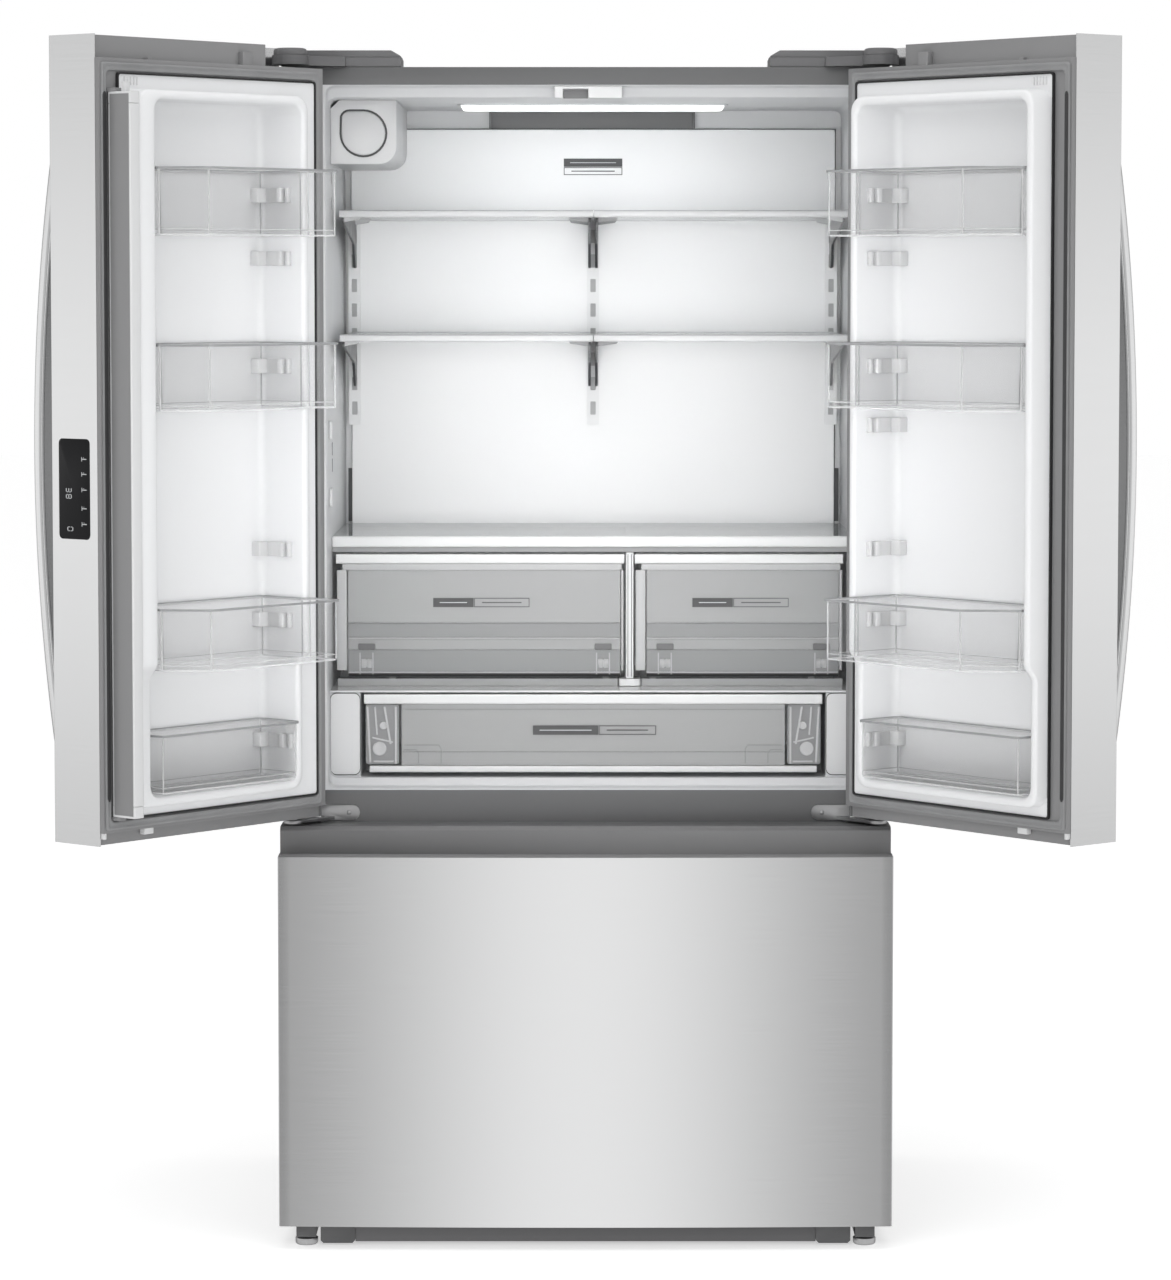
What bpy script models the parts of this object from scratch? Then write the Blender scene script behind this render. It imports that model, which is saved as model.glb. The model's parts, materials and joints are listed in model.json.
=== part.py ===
"""French door refrigerator: a cabinet with two swinging upper doors over a freezer drawer.

Metres, +Z up. X runs across the front, Y runs from the front plane of the doors into the cabinet and Z
runs up from the floor. Doors and drawers are modelled closed; the doors are then swung open on their
hinge empties, and the whole object is centred over its footprint by the empty it hangs from.
"""

import math

import bpy
import bmesh
from mathutils import Matrix, Vector

# ---------- clearances and sheet ----------
GAP = 0.0003
SHEET = 0.0012

# ---------- cabinet ----------
CENTRE_Y = 0.1938  # front plane to the middle of the footprint, doors open
CABINET_HALF = 0.450
CABINET_FRONT = 0.097
CABINET_BACK = 0.717
CABINET_LOW = 0.035
CABINET_TOP = 1.743
OPENING_HALF = 0.424
OPENING_TOP = 1.717
RAIL_LOW, RAIL_HIGH = 0.616, 0.672
OPENING_LOW = 0.062
LINER_FRONT = CABINET_FRONT + SHEET + GAP
FOAM_BACK = CABINET_BACK - 0.0005
FOAM_HALF = CABINET_HALF - SHEET - GAP
PARTITION_Z = 0.600

# ---------- fresh food compartment ----------
WALL_LEFT, WALL_RIGHT = -0.384, 0.408
ROOM_CENTRE = 0.012
MOUTH_LOW, MOUTH_HIGH = 0.6735, 1.7155
MOUTH_DEPTH = 0.140
ROOM_LOW, ROOM_HIGH = 0.685, 1.700
ROOM_BACK = 0.628
SHELF_FRONT = 0.227
SHELF_TOPS = {"upper": 1.535, "lower": 1.348}
SHELF_BACK = 0.600
SHELF_FRAME = 0.011
ARM_DEPTH = 0.086
PANTRY_FRONT = 0.158
FILTER_CENTRE = (-0.334, 1.650)
FILTER_RADIUS = 0.033
FILTER_GAP = 0.0012
FILTER_PROUD = 0.0005
FILTER_HINGE = (FILTER_CENTRE[0] - FILTER_RADIUS + 0.002, SHELF_FRONT - FILTER_PROUD, FILTER_CENTRE[1])

# ---------- freezer compartment and machine bay ----------
FREEZER_HALF = 0.400
FREEZER_LOW, FREEZER_HIGH = 0.070, 0.572
FREEZER_STEP_Y, FREEZER_STEP_Z = 0.460, 0.290
FREEZER_BACK = 0.660
BAY_FRONT, BAY_HIGH = 0.500, 0.262
FAN_CENTRE = (0.590, 0.135)
FOOT_X, FOOT_Y = 0.4145, 0.045
AXLE_Y, AXLE_Z = 0.660, 0.0165

# ---------- doors ----------
FRONT_HALF = 0.4525  # doors and freezer front, from the middle
DOOR_WIDTH = 0.450
DOOR_INNER = 0.091  # inner plane, behind the front plane
BOW = 0.009  # how far the middle of the front stands proud
DOOR_LOW, DOOR_HIGH = 0.638, 1.770
FRAME_LOW, FRAME_HIGH = 0.657, 1.737
CAP_SETBACK = 0.012
HINGE_U, HINGE_V = 0.021, -0.045
HINGE_RECESS = 0.107
DOOR_ANGLE = 130.0
DIKE_HEIGHT = 0.035
POCKET_DEPTH = 0.045
DIKE_START = {-1: 0.072, 1: 0.046}
BIN_START = {-1: 0.0755, 1: 0.0605}
DIKE_END = 0.413
DIKE_LOW, DIKE_HIGH = 0.690, 1.694
RIM = 0.013
BIN_HEIGHTS = [(1.491, 1.587), (1.245, 1.340), (0.881, 0.970), (0.7065, 0.791)]
MULLION_U, MULLION_V = 0.432, 0.0118
PANEL_V = (-0.0864, -0.0223)
PANEL_Z = (1.067, 1.209)
WRAP_END = -0.008  # where the steel skin stops on a door's edges, from the inner plane
SIDES = {-1: "left", 1: "right"}

# ---------- freezer drawer ----------
DRAWER_LOW, DRAWER_HIGH = 0.035, 0.584
GRIP_HIGH = 0.625
GRIP_SETBACK = 0.035
GRIP_FLOOR = 0.556
BASKET_HALF, BASKET_BACK = 0.350, 0.450
SLIDE_FRONT, SLIDE_BACK = 0.105, 0.500

HOME = {}


# ---------- materials ----------
def material(name, colour, roughness, metallic=0.0, alpha=1.0):
    """A Principled material, made once and shared by name."""
    found = bpy.data.materials.get(name)
    if found:
        return found
    made = bpy.data.materials.new(name)
    made.use_nodes = True
    shader = made.node_tree.nodes["Principled BSDF"]
    shader.inputs["Base Color"].default_value = (*colour, 1.0)
    shader.inputs["Roughness"].default_value = roughness
    shader.inputs["Metallic"].default_value = metallic
    shader.inputs["Alpha"].default_value = alpha
    return made


def stainless():
    return material("stainless", (0.62, 0.62, 0.63), 0.32, 1.0)


def grey_plastic():
    return material("grey_plastic", (0.23, 0.23, 0.235), 0.45)


def dark_plastic():
    return material("dark_plastic", (0.13, 0.13, 0.135), 0.5)


def white_plastic():
    return material("white_plastic", (0.86, 0.87, 0.88), 0.35)


def clear_plastic():
    return material("clear_plastic", (0.93, 0.95, 0.96), 0.08, 0.0, 0.3)


def painted_steel():
    return material("painted_steel", (0.17, 0.17, 0.175), 0.45, 0.2)


def zinc():
    return material("zinc", (0.6, 0.6, 0.6), 0.35, 0.9)


def black_glass():
    return material("black_glass", (0.02, 0.02, 0.022), 0.12)


def soft_seal():
    return material("soft_seal", (0.2, 0.2, 0.205), 0.7)


def copper():
    return material("copper", (0.55, 0.3, 0.2), 0.4, 0.9)


# ---------- outlines ----------
def rect(a0, a1, b0, b1):
    return [(a0, b0), (a1, b0), (a1, b1), (a0, b1)]


def arc(centre, radius, start, end, steps):
    """Points on a circle from one angle to another, in degrees."""
    turn = [math.radians(start + (end - start) * i / steps) for i in range(steps + 1)]
    return [(centre[0] + radius * math.cos(t), centre[1] + radius * math.sin(t)) for t in turn]


def rounded(a0, a1, b0, b1, radius, steps=3):
    """A rectangle whose four corners are arcs."""
    corners = [(a0, b0, 180), (a1, b0, 270), (a1, b1, 0), (a0, b1, 90)]
    points = []
    for a, b, start in corners:
        centre = (
            a + (radius if a == a0 else -radius),
            b + (radius if b == b0 else -radius),
        )
        points += arc(centre, radius, start, start + 90, steps)
    return points


def inset(outline, distance):
    """A counter-clockwise outline moved inwards by the same distance on every side."""
    moved = []
    for i, point in enumerate(outline):
        here = Vector(point)
        before = (here - Vector(outline[i - 1])).normalized()
        after = (Vector(outline[(i + 1) % len(outline)]) - here).normalized()
        normal = Vector((-before.y - after.y, before.x + after.x))
        normal.normalize()
        lean = normal.dot(Vector((-after.y, after.x)))
        moved.append(tuple(here + normal * distance / lean))
    return moved


def at_y(outline, y):
    return [(a, y, b) for a, b in outline]


def at_z(outline, z):
    return [(a, b, z) for a, b in outline]


def at_x(outline, x):
    return [(x, a, b) for a, b in outline]


# ---------- solids ----------
def solid(name, mesh_data, look):
    """One named object from a finished bmesh, faces turned outwards."""
    bmesh.ops.recalc_face_normals(mesh_data, faces=mesh_data.faces)
    mesh = bpy.data.meshes.new(name)
    mesh_data.to_mesh(mesh)
    mesh_data.free()
    made = bpy.data.objects.new(name, mesh)
    bpy.context.scene.collection.objects.link(made)
    made.data.materials.append(look)
    return made


def loft(name, rings, look, joined=False, smooth=False):
    """Rings of equal length bridged in order: capped at both ends, or joined into a closed band."""
    data = bmesh.new()
    loops = [[data.verts.new(point) for point in ring] for ring in rings]
    following = loops[1:] + ([loops[0]] if joined else [])
    for low, high in zip(loops, following):
        for i in range(len(low)):
            j = (i + 1) % len(low)
            data.faces.new((low[i], low[j], high[j], high[i]))
    if not joined:
        data.faces.new(loops[0])
        data.faces.new(loops[-1])
    made = solid(name, data, look)
    if smooth:
        made.data.shade_smooth()
        made.data.set_sharp_from_angle(angle=math.radians(35))
    return made


def box(name, x, y, z, look):
    return loft(name, [at_z(rect(*x, *y), z[0]), at_z(rect(*x, *y), z[1])], look)


def turned(name, profile, centre, axis, look, sides=20):
    """A profile of (position along the axis, radius) turned round X, Y or Z."""
    rings = []
    for along, radius in profile:
        circle = [
            (math.cos(math.tau * i / sides) * radius, math.sin(math.tau * i / sides) * radius)
            for i in range(sides)
        ]
        if axis == "x":
            rings.append([(along, centre[0] + a, centre[1] + b) for a, b in circle])
        elif axis == "y":
            rings.append([(centre[0] + a, along, centre[1] + b) for a, b in circle])
        else:
            rings.append([(centre[0] + a, centre[1] + b, along) for a, b in circle])
    return loft(name, rings, look, smooth=True)


def tray(name, outline, low, high, wall, look):
    """An open-topped tray with walls of even thickness, its outline drawn in plan."""
    inner = inset(outline, wall)
    rings = [
        at_z(inner, low + wall),
        at_z(inner, high),
        at_z(outline, high),
        at_z(outline, low),
    ]
    return loft(name, rings, look)


def combine(target, other, operation):
    """Adds or removes another solid by a Boolean, and keeps that solid as a hidden guide."""
    other.hide_render = True
    other.display_type = "WIRE"
    other.parent = target
    step = target.modifiers.new(other.name, "BOOLEAN")
    step.operation = operation
    step.solver = "EXACT"
    step.object = other
    return target


def cut(target, other):
    return combine(target, other, "DIFFERENCE")


def fuse(target, other):
    return combine(target, other, "UNION")


# ---------- placing ----------
def pivot(name, home, parent=None, turn=0.0):
    """An empty on a joint's axis. Its children are modelled where the joint is at zero turn."""
    empty = bpy.data.objects.new(name, None)
    bpy.context.scene.collection.objects.link(empty)
    HOME[name] = Vector(home)
    empty.location = home
    empty.rotation_euler.z = math.radians(turn)
    if parent:
        attach(empty, parent)
    return empty


def attach(child, parent):
    child.parent = parent
    child.matrix_parent_inverse = Matrix.Translation(-HOME[parent.name])
    return child


def front_y(x):
    """The bowed front surface, in front of the plane through its outer edges."""
    return -BOW * (1 - (x / FRONT_HALF) ** 2)


def door_point(side, u, v):
    """Plan position for a distance from the hinge edge and one inwards from the inner plane."""
    return (side * (FRONT_HALF - u), DOOR_INNER + v)


def door_plan(side, outline):
    points = [door_point(side, u, v) for u, v in outline]
    return points if side < 0 else points[::-1]


def door_face(side, outline):
    """An outline in (u, z) seen from the front, turned into (x, z)."""
    return [(side * (FRONT_HALF - u), z) for u, z in outline]


# ---------- cabinet ----------
def front_bracket(side):
    """Bracket under a front corner: a foot block outside and a roller cover inside."""
    outline = [
        (0.342, 0.0345),
        (0.342, 0.008),
        (0.346, 0.004),
        (0.389, 0.004),
        (0.393, 0.008),
        (0.393, 0.030),
        (0.400, 0.030),
        (0.400, 0.013),
        (0.429, 0.013),
        (0.429, 0.0345),
    ]
    outline = [(side * x, z) for x, z in outline]
    name = SIDES[side] + "_front_bracket"
    bracket = loft(name, [at_y(outline, 0.028), at_y(outline, 0.110)], painted_steel())
    x = sorted((side * 0.345, side * 0.426))
    return bracket, box(name + "_riser", x, (0.0975, 0.108), (0.030, 0.0358), painted_steel())


def cabinet_shell():
    shell = box(
        "cabinet_shell",
        (-CABINET_HALF, CABINET_HALF),
        (CABINET_FRONT, CABINET_BACK),
        (CABINET_LOW, CABINET_TOP),
        painted_steel(),
    )
    inside = CABINET_HALF - SHEET
    hollow = box(
        "shell_hollow",
        (-inside, inside),
        (CABINET_FRONT + SHEET, CABINET_BACK + 0.01),
        (CABINET_LOW + SHEET, CABINET_TOP - SHEET),
        painted_steel(),
    )
    cut(shell, hollow)
    mouth = (CABINET_FRONT - 0.01, CABINET_FRONT + 0.01)
    across = (-OPENING_HALF, OPENING_HALF)
    cut(shell, box("upper_opening", across, mouth, (RAIL_HIGH, OPENING_TOP), painted_steel()))
    cut(shell, box("lower_opening", across, mouth, (OPENING_LOW, RAIL_LOW), painted_steel()))
    for side in SIDES:
        bracket, riser = front_bracket(side)
        fuse(shell, bracket)
        fuse(shell, riser)
        hole = turned(
            SIDES[side] + "_foot_hole",
            [(0.002, 0.0075), (0.032, 0.0075)],
            (side * FOOT_X, FOOT_Y),
            "z",
            painted_steel(),
        )
        cut(shell, hole)
        x = sorted((side * 0.380, side * 0.386))
        lug = box(SIDES[side] + "_axle_lug", x, (0.650, 0.670), (0.008, 0.0357), painted_steel())
        fuse(shell, lug)
    axle_hole = turned(
        "axle_hole", [(-0.395, 0.005), (0.395, 0.005)], (AXLE_Y, AXLE_Z), "x", painted_steel()
    )
    cut(shell, axle_hole)
    return shell


def fridge_liner():
    """White moulded lining of the upper compartment with the foam behind it, open at the front."""
    outside = rounded(-FOAM_HALF, FOAM_HALF, PARTITION_Z + GAP, CABINET_TOP - SHEET - GAP, 0.003)
    mouth = rounded(WALL_LEFT, WALL_RIGHT, MOUTH_LOW, MOUTH_HIGH, 0.012)
    room = rounded(WALL_LEFT, WALL_RIGHT, ROOM_LOW, ROOM_HIGH, 0.012)
    rings = [
        at_y(outside, FOAM_BACK),
        at_y(outside, LINER_FRONT),
        at_y(mouth, LINER_FRONT),
        at_y(mouth, MOUTH_DEPTH),
        at_y(room, MOUTH_DEPTH + 0.003),
        at_y(room, ROOM_BACK),
    ]
    liner = loft("fridge_liner", rings, white_plastic())
    for name, x in (
        ("left_housing", (WALL_LEFT - 0.010, -0.3375)),
        ("right_housing", (0.3605, WALL_RIGHT + 0.010)),
    ):
        fuse(liner, box(name, x, (0.160, 0.600), (0.680, 0.8117), white_plastic()))
    return liner


def freezer_liner():
    """Lining and foam of the lower compartment, stepped over the machine bay."""
    liner = box(
        "freezer_liner",
        (-FOAM_HALF, FOAM_HALF),
        (LINER_FRONT, FOAM_BACK),
        (CABINET_LOW + SHEET + GAP, PARTITION_Z),
        white_plastic(),
    )
    room = [
        (0.090, FREEZER_LOW),
        (FREEZER_STEP_Y, FREEZER_LOW),
        (FREEZER_STEP_Y, FREEZER_STEP_Z),
        (FREEZER_BACK, FREEZER_STEP_Z),
        (FREEZER_BACK, FREEZER_HIGH),
        (0.090, FREEZER_HIGH),
    ]
    rings = [at_x(room, -FREEZER_HALF), at_x(room, FREEZER_HALF)]
    cut(liner, loft("freezer_room", rings, white_plastic()))
    bay = box("machine_bay", (-0.46, 0.46), (BAY_FRONT, 0.73), (0.02, BAY_HIGH), white_plastic())
    return cut(liner, bay)


def slots(target, count, x, y, first_low, pitch, height):
    """Cuts a stack of long horizontal slots through a panel."""
    for i in range(count):
        low = first_low + i * pitch
        name = f"{target.name}_slot_{i + 1}"
        cut(target, box(name, x, y, (low, low + height), dark_plastic()))
    return target


def rear_cover():
    y = (CABINET_BACK + GAP, CABINET_BACK + GAP + SHEET)
    cover = box("rear_cover", (-0.4475, 0.4475), y, (0.040, 1.738), painted_steel())
    return slots(cover, 7, (0.06, 0.38), (0.70, 0.73), 0.070, 0.024, 0.010)


def comb(name, x, count, depth, low, high, look):
    """A finned block: a base plate with thin upright fins, as on a heat exchanger."""
    pitch = (x[1] - x[0]) / (count - 0.6)
    outline = [(x[1], low), (x[0], low)]
    for i in range(count):
        start = x[0] + i * pitch
        end = min(start + pitch * 0.4, x[1])
        foot = low + 0.012
        if i:
            outline.append((start, foot))
        outline += [(start, high), (end, high)]
        if i < count - 1:
            outline.append((end, foot))
    return loft(name, [at_y(outline, depth[0]), at_y(outline, depth[1])], look)


def machine_parts():
    profile = [(0.0465, 0.060), (0.060, 0.085), (0.150, 0.088), (0.205, 0.075), (0.232, 0.035)]
    compressor = turned("compressor", profile, (-0.22, 0.61), "z", black_glass())
    condenser = comb("condenser_coil", (0.10, 0.36), 13, (0.545, 0.635), 0.045, 0.215, copper())
    motor = turned("fan_motor", [(0.050, 0.020), (0.105, 0.020)], FAN_CENTRE, "x", dark_plastic())
    fuse(condenser, motor)
    evaporator = comb("evaporator_coil", (-0.22, 0.22), 15, (0.615, 0.650), 0.330, 0.500, zinc())
    return [compressor, condenser, evaporator]


def condenser_fan():
    fan = turned("condenser_fan", [(0.022, 0.018), (0.0495, 0.018)], FAN_CENTRE, "x", dark_plastic())
    blades = 5
    for i in range(blades):
        blade = box(
            f"fan_blade_{i + 1}", (-0.002, 0.002), (-0.016, 0.016), (0.010, 0.070), dark_plastic()
        )
        turn = Matrix.Rotation(math.tau * i / blades, 4, "X") @ Matrix.Rotation(0.9, 4, "Z")
        place = Matrix.Translation((0.036, *FAN_CENTRE))
        blade.data.transform(place @ turn)
        fuse(fan, blade)
    return fan


def freezer_back_panel():
    z = (FREEZER_STEP_Z + GAP, FREEZER_HIGH - GAP)
    half = FREEZER_HALF - GAP
    panel = box("freezer_back_panel", (-half, half), (0.600, 0.603), z, white_plastic())
    return slots(panel, 4, (-0.15, 0.15), (0.59, 0.61), 0.500, 0.014, 0.006)


def toe_grille():
    outline = [
        (0.030, 0.006),
        (0.033, 0.006),
        (0.033, 0.0305),
        (0.0965, 0.0305),
        (0.0965, 0.0335),
        (0.030, 0.0335),
    ]
    return loft("toe_grille", [at_x(outline, -0.3415), at_x(outline, 0.3415)], dark_plastic())


# ---------- hinges and supports ----------
def hinge_axis(side):
    return door_point(side, HINGE_U, HINGE_V)


def around_hinge(side, outline):
    """Plan points given from the hinge axis, inboard and inwards."""
    x, y = hinge_axis(side)
    return [(x - side * a, y + b) for a, b in outline]


def top_hinge(side):
    """Cover over the cabinet's top corner with a nose over the door, and the pin below the nose."""
    nose = arc((0, 0), 0.027, 128, 390, 11)
    outline = nose + [(0.078, 0.040), (0.078, 0.054), (0.1595, 0.054), (0.1595, 0.150), (-0.0165, 0.150)]
    plan = around_hinge(side, outline)
    name = SIDES[side] + "_top_hinge"
    rings = [at_z(plan, CABINET_TOP + GAP), at_z(plan, 1.768)]
    hinge = loft(name, rings, dark_plastic())
    pin = turned(name + "_pin", [(1.705, 0.006), (1.750, 0.006)], hinge_axis(side), "z", zinc())
    return fuse(hinge, pin)


def lower_hinge(side):
    """Plate on the rail between the compartments, an arm under the door and the pin on it."""
    name = SIDES[side] + "_lower_hinge"
    arm_outline = arc((0, 0), 0.014, 180, 360, 8) + [(0.060, 0.0495), (-0.004, 0.0495)]
    arm_plan = around_hinge(side, arm_outline)
    hinge = loft(name, [at_z(arm_plan, 0.6285), at_z(arm_plan, 0.6335)], zinc())
    x = sorted((side * 0.336, side * 0.436))
    plate_outline = rounded(*x, 0.6275, 0.650, 0.010)
    plate = loft(name + "_plate", [at_y(plate_outline, 0.0935), at_y(plate_outline, 0.0967)], zinc())
    fuse(hinge, plate)
    pin = turned(name + "_pin", [(0.630, 0.005), (0.664, 0.005)], hinge_axis(side), "z", zinc(), 16)
    return fuse(hinge, pin)


def leveling_foot(side):
    profile = [(0.0, 0.015), (0.003, 0.017), (0.011, 0.017), (0.011, 0.006), (0.030, 0.006)]
    centre = (side * FOOT_X, FOOT_Y)
    return turned(SIDES[side] + "_leveling_foot", profile, centre, "z", zinc())


def rear_rollers():
    """Two wheels fixed on one axle."""
    half = [(0.412, 0.0165), (0.390, 0.0165), (0.390, 0.0042)]
    profile = [(-x, r) for x, r in half] + half[::-1]
    return turned("rear_rollers", profile, (AXLE_Y, AXLE_Z), "x", dark_plastic())


# ---------- inside the fresh food compartment ----------
def led_lens():
    outline = rounded(-0.191, 0.213, 0.368, 0.524, 0.010)
    rings = [at_z(outline, 1.6945), at_z(outline, ROOM_HIGH - GAP)]
    return loft("led_lens", rings, material("led_lens", (0.95, 0.97, 1.0), 0.3))


def filter_outline(radius):
    """A round cap whose upper left quarter is squared off with a rounded corner."""
    x, z = FILTER_CENTRE
    corner = 0.012
    points = arc((x, z), radius, 180, 450, 18)
    return points + arc((x - radius + corner, z + radius - corner), corner, 90, 180, 4)[:-1]


def filter_housing():
    radius = 0.026
    x = (WALL_LEFT + GAP, -0.284)
    z = (1.604, ROOM_HIGH - GAP)
    outline = [(x[0], z[0])] + arc((x[1] - radius, z[0] + radius), radius, 270, 360, 6)
    outline += [(x[1], z[1]), (x[0] + 0.013, z[1]), (x[0], z[1] - 0.013)]
    rings = [at_y(outline, SHELF_FRONT), at_y(outline, 0.6085)]
    housing = loft("filter_housing", rings, white_plastic())
    recess = filter_outline(FILTER_RADIUS + FILTER_GAP)
    rings = [at_y(recess, SHELF_FRONT - 0.01), at_y(recess, SHELF_FRONT + 0.014)]
    cut(housing, loft("filter_recess", rings, white_plastic()))
    bore = turned("filter_bore", [(0.235, 0.028), (0.550, 0.028)], FILTER_CENTRE, "y", white_plastic())
    return cut(housing, bore)


def filter_cap():
    outline = filter_outline(FILTER_RADIUS)
    rings = [at_y(outline, SHELF_FRONT - FILTER_PROUD), at_y(outline, SHELF_FRONT + 0.010)]
    return loft("filter_cap", rings, white_plastic())


def mullion_striker():
    """Block under the ceiling whose open notch turns the flipping mullion as the door closes."""
    striker = box(
        "mullion_striker", (-0.046, 0.054), (LINER_FRONT + GAP, 0.138), (1.6975, 1.7152), white_plastic()
    )
    notch = box("striker_notch", (-0.033, 0.004), (0.09, 0.128), (1.69, 1.711), white_plastic())
    return cut(striker, notch)


def back_panel():
    """Air duct panel with the three slotted tracks that hold the shelves."""
    panel = box("back_panel", (-0.373, 0.397), (0.609, 0.6205), (0.690, 1.669), white_plastic())
    for i, x in enumerate((-0.368, ROOM_CENTRE, 0.391)):
        track = box(f"track_{i + 1}", (x - 0.010, x + 0.010), (0.6005, 0.612), (1.200, 1.540), zinc())
        fuse(panel, track)
    return panel


def shelf(level, side):
    """Cantilevered half shelf: a glass pane in a thin frame on two bracket arms."""
    top = SHELF_TOPS[level]
    under = top - SHELF_FRAME
    frame_end, frame_start = SHELF_FRONT + 0.013, SHELF_BACK - 0.013
    pane = [
        (SHELF_FRONT, under),
        (frame_end, under),
        (frame_end, top - 0.005),
        (frame_start, top - 0.005),
        (frame_start, under),
        (SHELF_BACK, under),
        (SHELF_BACK, top),
        (SHELF_FRONT, top),
    ]
    x = (-0.371, ROOM_CENTRE - 0.0005) if side < 0 else (ROOM_CENTRE + 0.0005, 0.395)
    name = f"{level}_{SIDES[side]}_shelf"
    made = loft(name, [at_x(pane, x[0]), at_x(pane, x[1])], clear_plastic())
    arm = [
        (SHELF_FRONT + 0.006, top - 0.018),
        (0.545, top - 0.050),
        (0.574, top - ARM_DEPTH),
        (SHELF_BACK, top - ARM_DEPTH),
        (SHELF_BACK, top - 0.003),
        (SHELF_FRONT + 0.006, top - 0.003),
    ]
    for i, start in enumerate((x[0] + 0.0005, x[1] - 0.0045)):
        rings = [at_x(arm, start), at_x(arm, start + 0.004)]
        fuse(made, loft(f"{name}_arm_{i + 1}", rings, zinc()))
    return made


def crisper_cover():
    """Glass cover over the crispers with a deep front trim and the divider that hangs from it."""
    outline = [
        (SHELF_FRONT, 1.019),
        (SHELF_FRONT + 0.014, 1.019),
        (SHELF_FRONT + 0.014, 1.037),
        (0.606, 1.037),
        (0.606, 1.043),
        (SHELF_FRONT, 1.043),
    ]
    ends = (WALL_LEFT + 0.0005, WALL_RIGHT - 0.0005)
    cover = loft("crisper_cover", [at_x(outline, x) for x in ends], clear_plastic())
    fuse(cover, box("divider_wall", (0.0635, 0.0705), (0.234, 0.598), (0.8245, 1.040), white_plastic()))
    fuse(cover, box("divider_post", (0.0600, 0.0735), (0.228, 0.242), (0.8205, 1.030), white_plastic()))
    return fuse(cover, box("divider_foot", (0.050, 0.084), (0.229, 0.270), (0.8152, 0.8262), white_plastic()))


def pantry_cover():
    cover = box("pantry_cover", (-0.3835, 0.4075), (PANTRY_FRONT, 0.606), (0.8122, 0.8148), clear_plastic())
    for i, x in enumerate((-0.300, 0.026, 0.098, 0.340)):
        rib = box(f"runner_{i + 1}", (x, x + 0.010), (0.280, 0.595), (0.8135, 0.8268), clear_plastic())
        fuse(cover, rib)
    return cover


def food_drawers():
    left = rect(-0.378, 0.0588, 0.230, 0.597)
    right = rect(0.0746, 0.390, 0.230, 0.597)
    pantry = rect(-0.3365, 0.3595, PANTRY_FRONT, 0.590)
    return [
        tray("left_crisper", left, 0.8272, 1.0160, 0.003, clear_plastic()),
        tray("right_crisper", right, 0.8272, 1.0160, 0.003, clear_plastic()),
        tray("pantry_drawer", pantry, 0.6915, 0.8095, 0.003, clear_plastic()),
    ]


# ---------- doors ----------
def bowed_front(side, u_values, offset):
    """Points on the bowed outer face of a door, set in by an offset."""
    points = []
    for u in u_values:
        x = side * (FRONT_HALF - u)
        points.append((u, front_y(x) - DOOR_INNER + offset))
    return points


def spread(start, end, count):
    return [start + (end - start) * i / (count - 1) for i in range(count)]


def door_shell(side):
    """Steel skin wrapped round the front and both edges of a door."""
    name = SIDES[side] + "_door_shell"
    outer = [(0, WRAP_END)] + bowed_front(side, spread(0, DOOR_WIDTH, 7), 0) + [(DOOR_WIDTH, WRAP_END)]
    skin = SHEET
    inner_front = bowed_front(side, spread(skin, DOOR_WIDTH - skin, 7), skin)
    inner = [(skin, WRAP_END)] + inner_front + [(DOOR_WIDTH - skin, WRAP_END)]
    plan = door_plan(side, outer + inner[::-1])
    shell = loft(name, [at_z(plan, DOOR_LOW), at_z(plan, DOOR_HIGH)], stainless())
    recess = door_plan(side, rect(-0.01, HINGE_RECESS, -0.0880, 0.01))
    rings = [at_z(recess, FRAME_HIGH), at_z(recess, DOOR_HIGH + 0.01)]
    return cut(shell, loft(name + "_recess", rings, stainless()))


def door_frame(side):
    """Grey plastic frame and end caps with the foam core inside them."""
    name = SIDES[side] + "_door_frame"
    edge = SHEET + GAP
    front = bowed_front(side, spread(edge, DOOR_WIDTH - edge, 7), edge)
    lip = WRAP_END + GAP
    body = [(0, 0), (0, lip), (edge, lip)] + front
    body += [(DOOR_WIDTH - edge, lip), (DOOR_WIDTH, lip), (DOOR_WIDTH, 0)]
    plan = door_plan(side, body)
    frame = loft(name, [at_z(plan, FRAME_LOW), at_z(plan, FRAME_HIGH)], grey_plastic())
    caps = door_plan(side, [(edge, -CAP_SETBACK)] + front + [(DOOR_WIDTH - edge, -CAP_SETBACK)])
    rings = [at_z(caps, DOOR_LOW + edge), at_z(caps, DOOR_HIGH - edge)]
    fuse(frame, loft(name + "_caps", rings, grey_plastic()))
    recess = door_plan(side, rect(-0.02, HINGE_RECESS, -0.12, 0.01))
    rings = [at_z(recess, FRAME_HIGH), at_z(recess, DOOR_HIGH + 0.01)]
    cut(frame, loft(name + "_recess", rings, grey_plastic()))
    pocket = door_face(side, pocket_outline(side, 0.0024))
    depths = (DOOR_INNER - POCKET_DEPTH - 0.0026, DOOR_INNER + 0.01)
    cut(frame, loft(name + "_pocket", [at_y(pocket, y) for y in depths], grey_plastic()))
    for end, span in (("low", (0.630, 0.668)), ("high", (1.700, 1.745))):
        profile = [(span[0], 0.0075), (span[1], 0.0075)]
        cut(frame, turned(f"{name}_{end}_hole", profile, hinge_axis(side), "z", grey_plastic()))
    return frame


def pocket_outline(side, grow):
    """The lining's recess between its raised rims, in (u, z)."""
    low, high = DIKE_LOW + RIM, DIKE_HIGH - RIM
    start, end = DIKE_START[side] + RIM, DIKE_END - RIM
    return rounded(start - grow, end + grow, low - grow, high + grow, 0.016 + grow)


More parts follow.
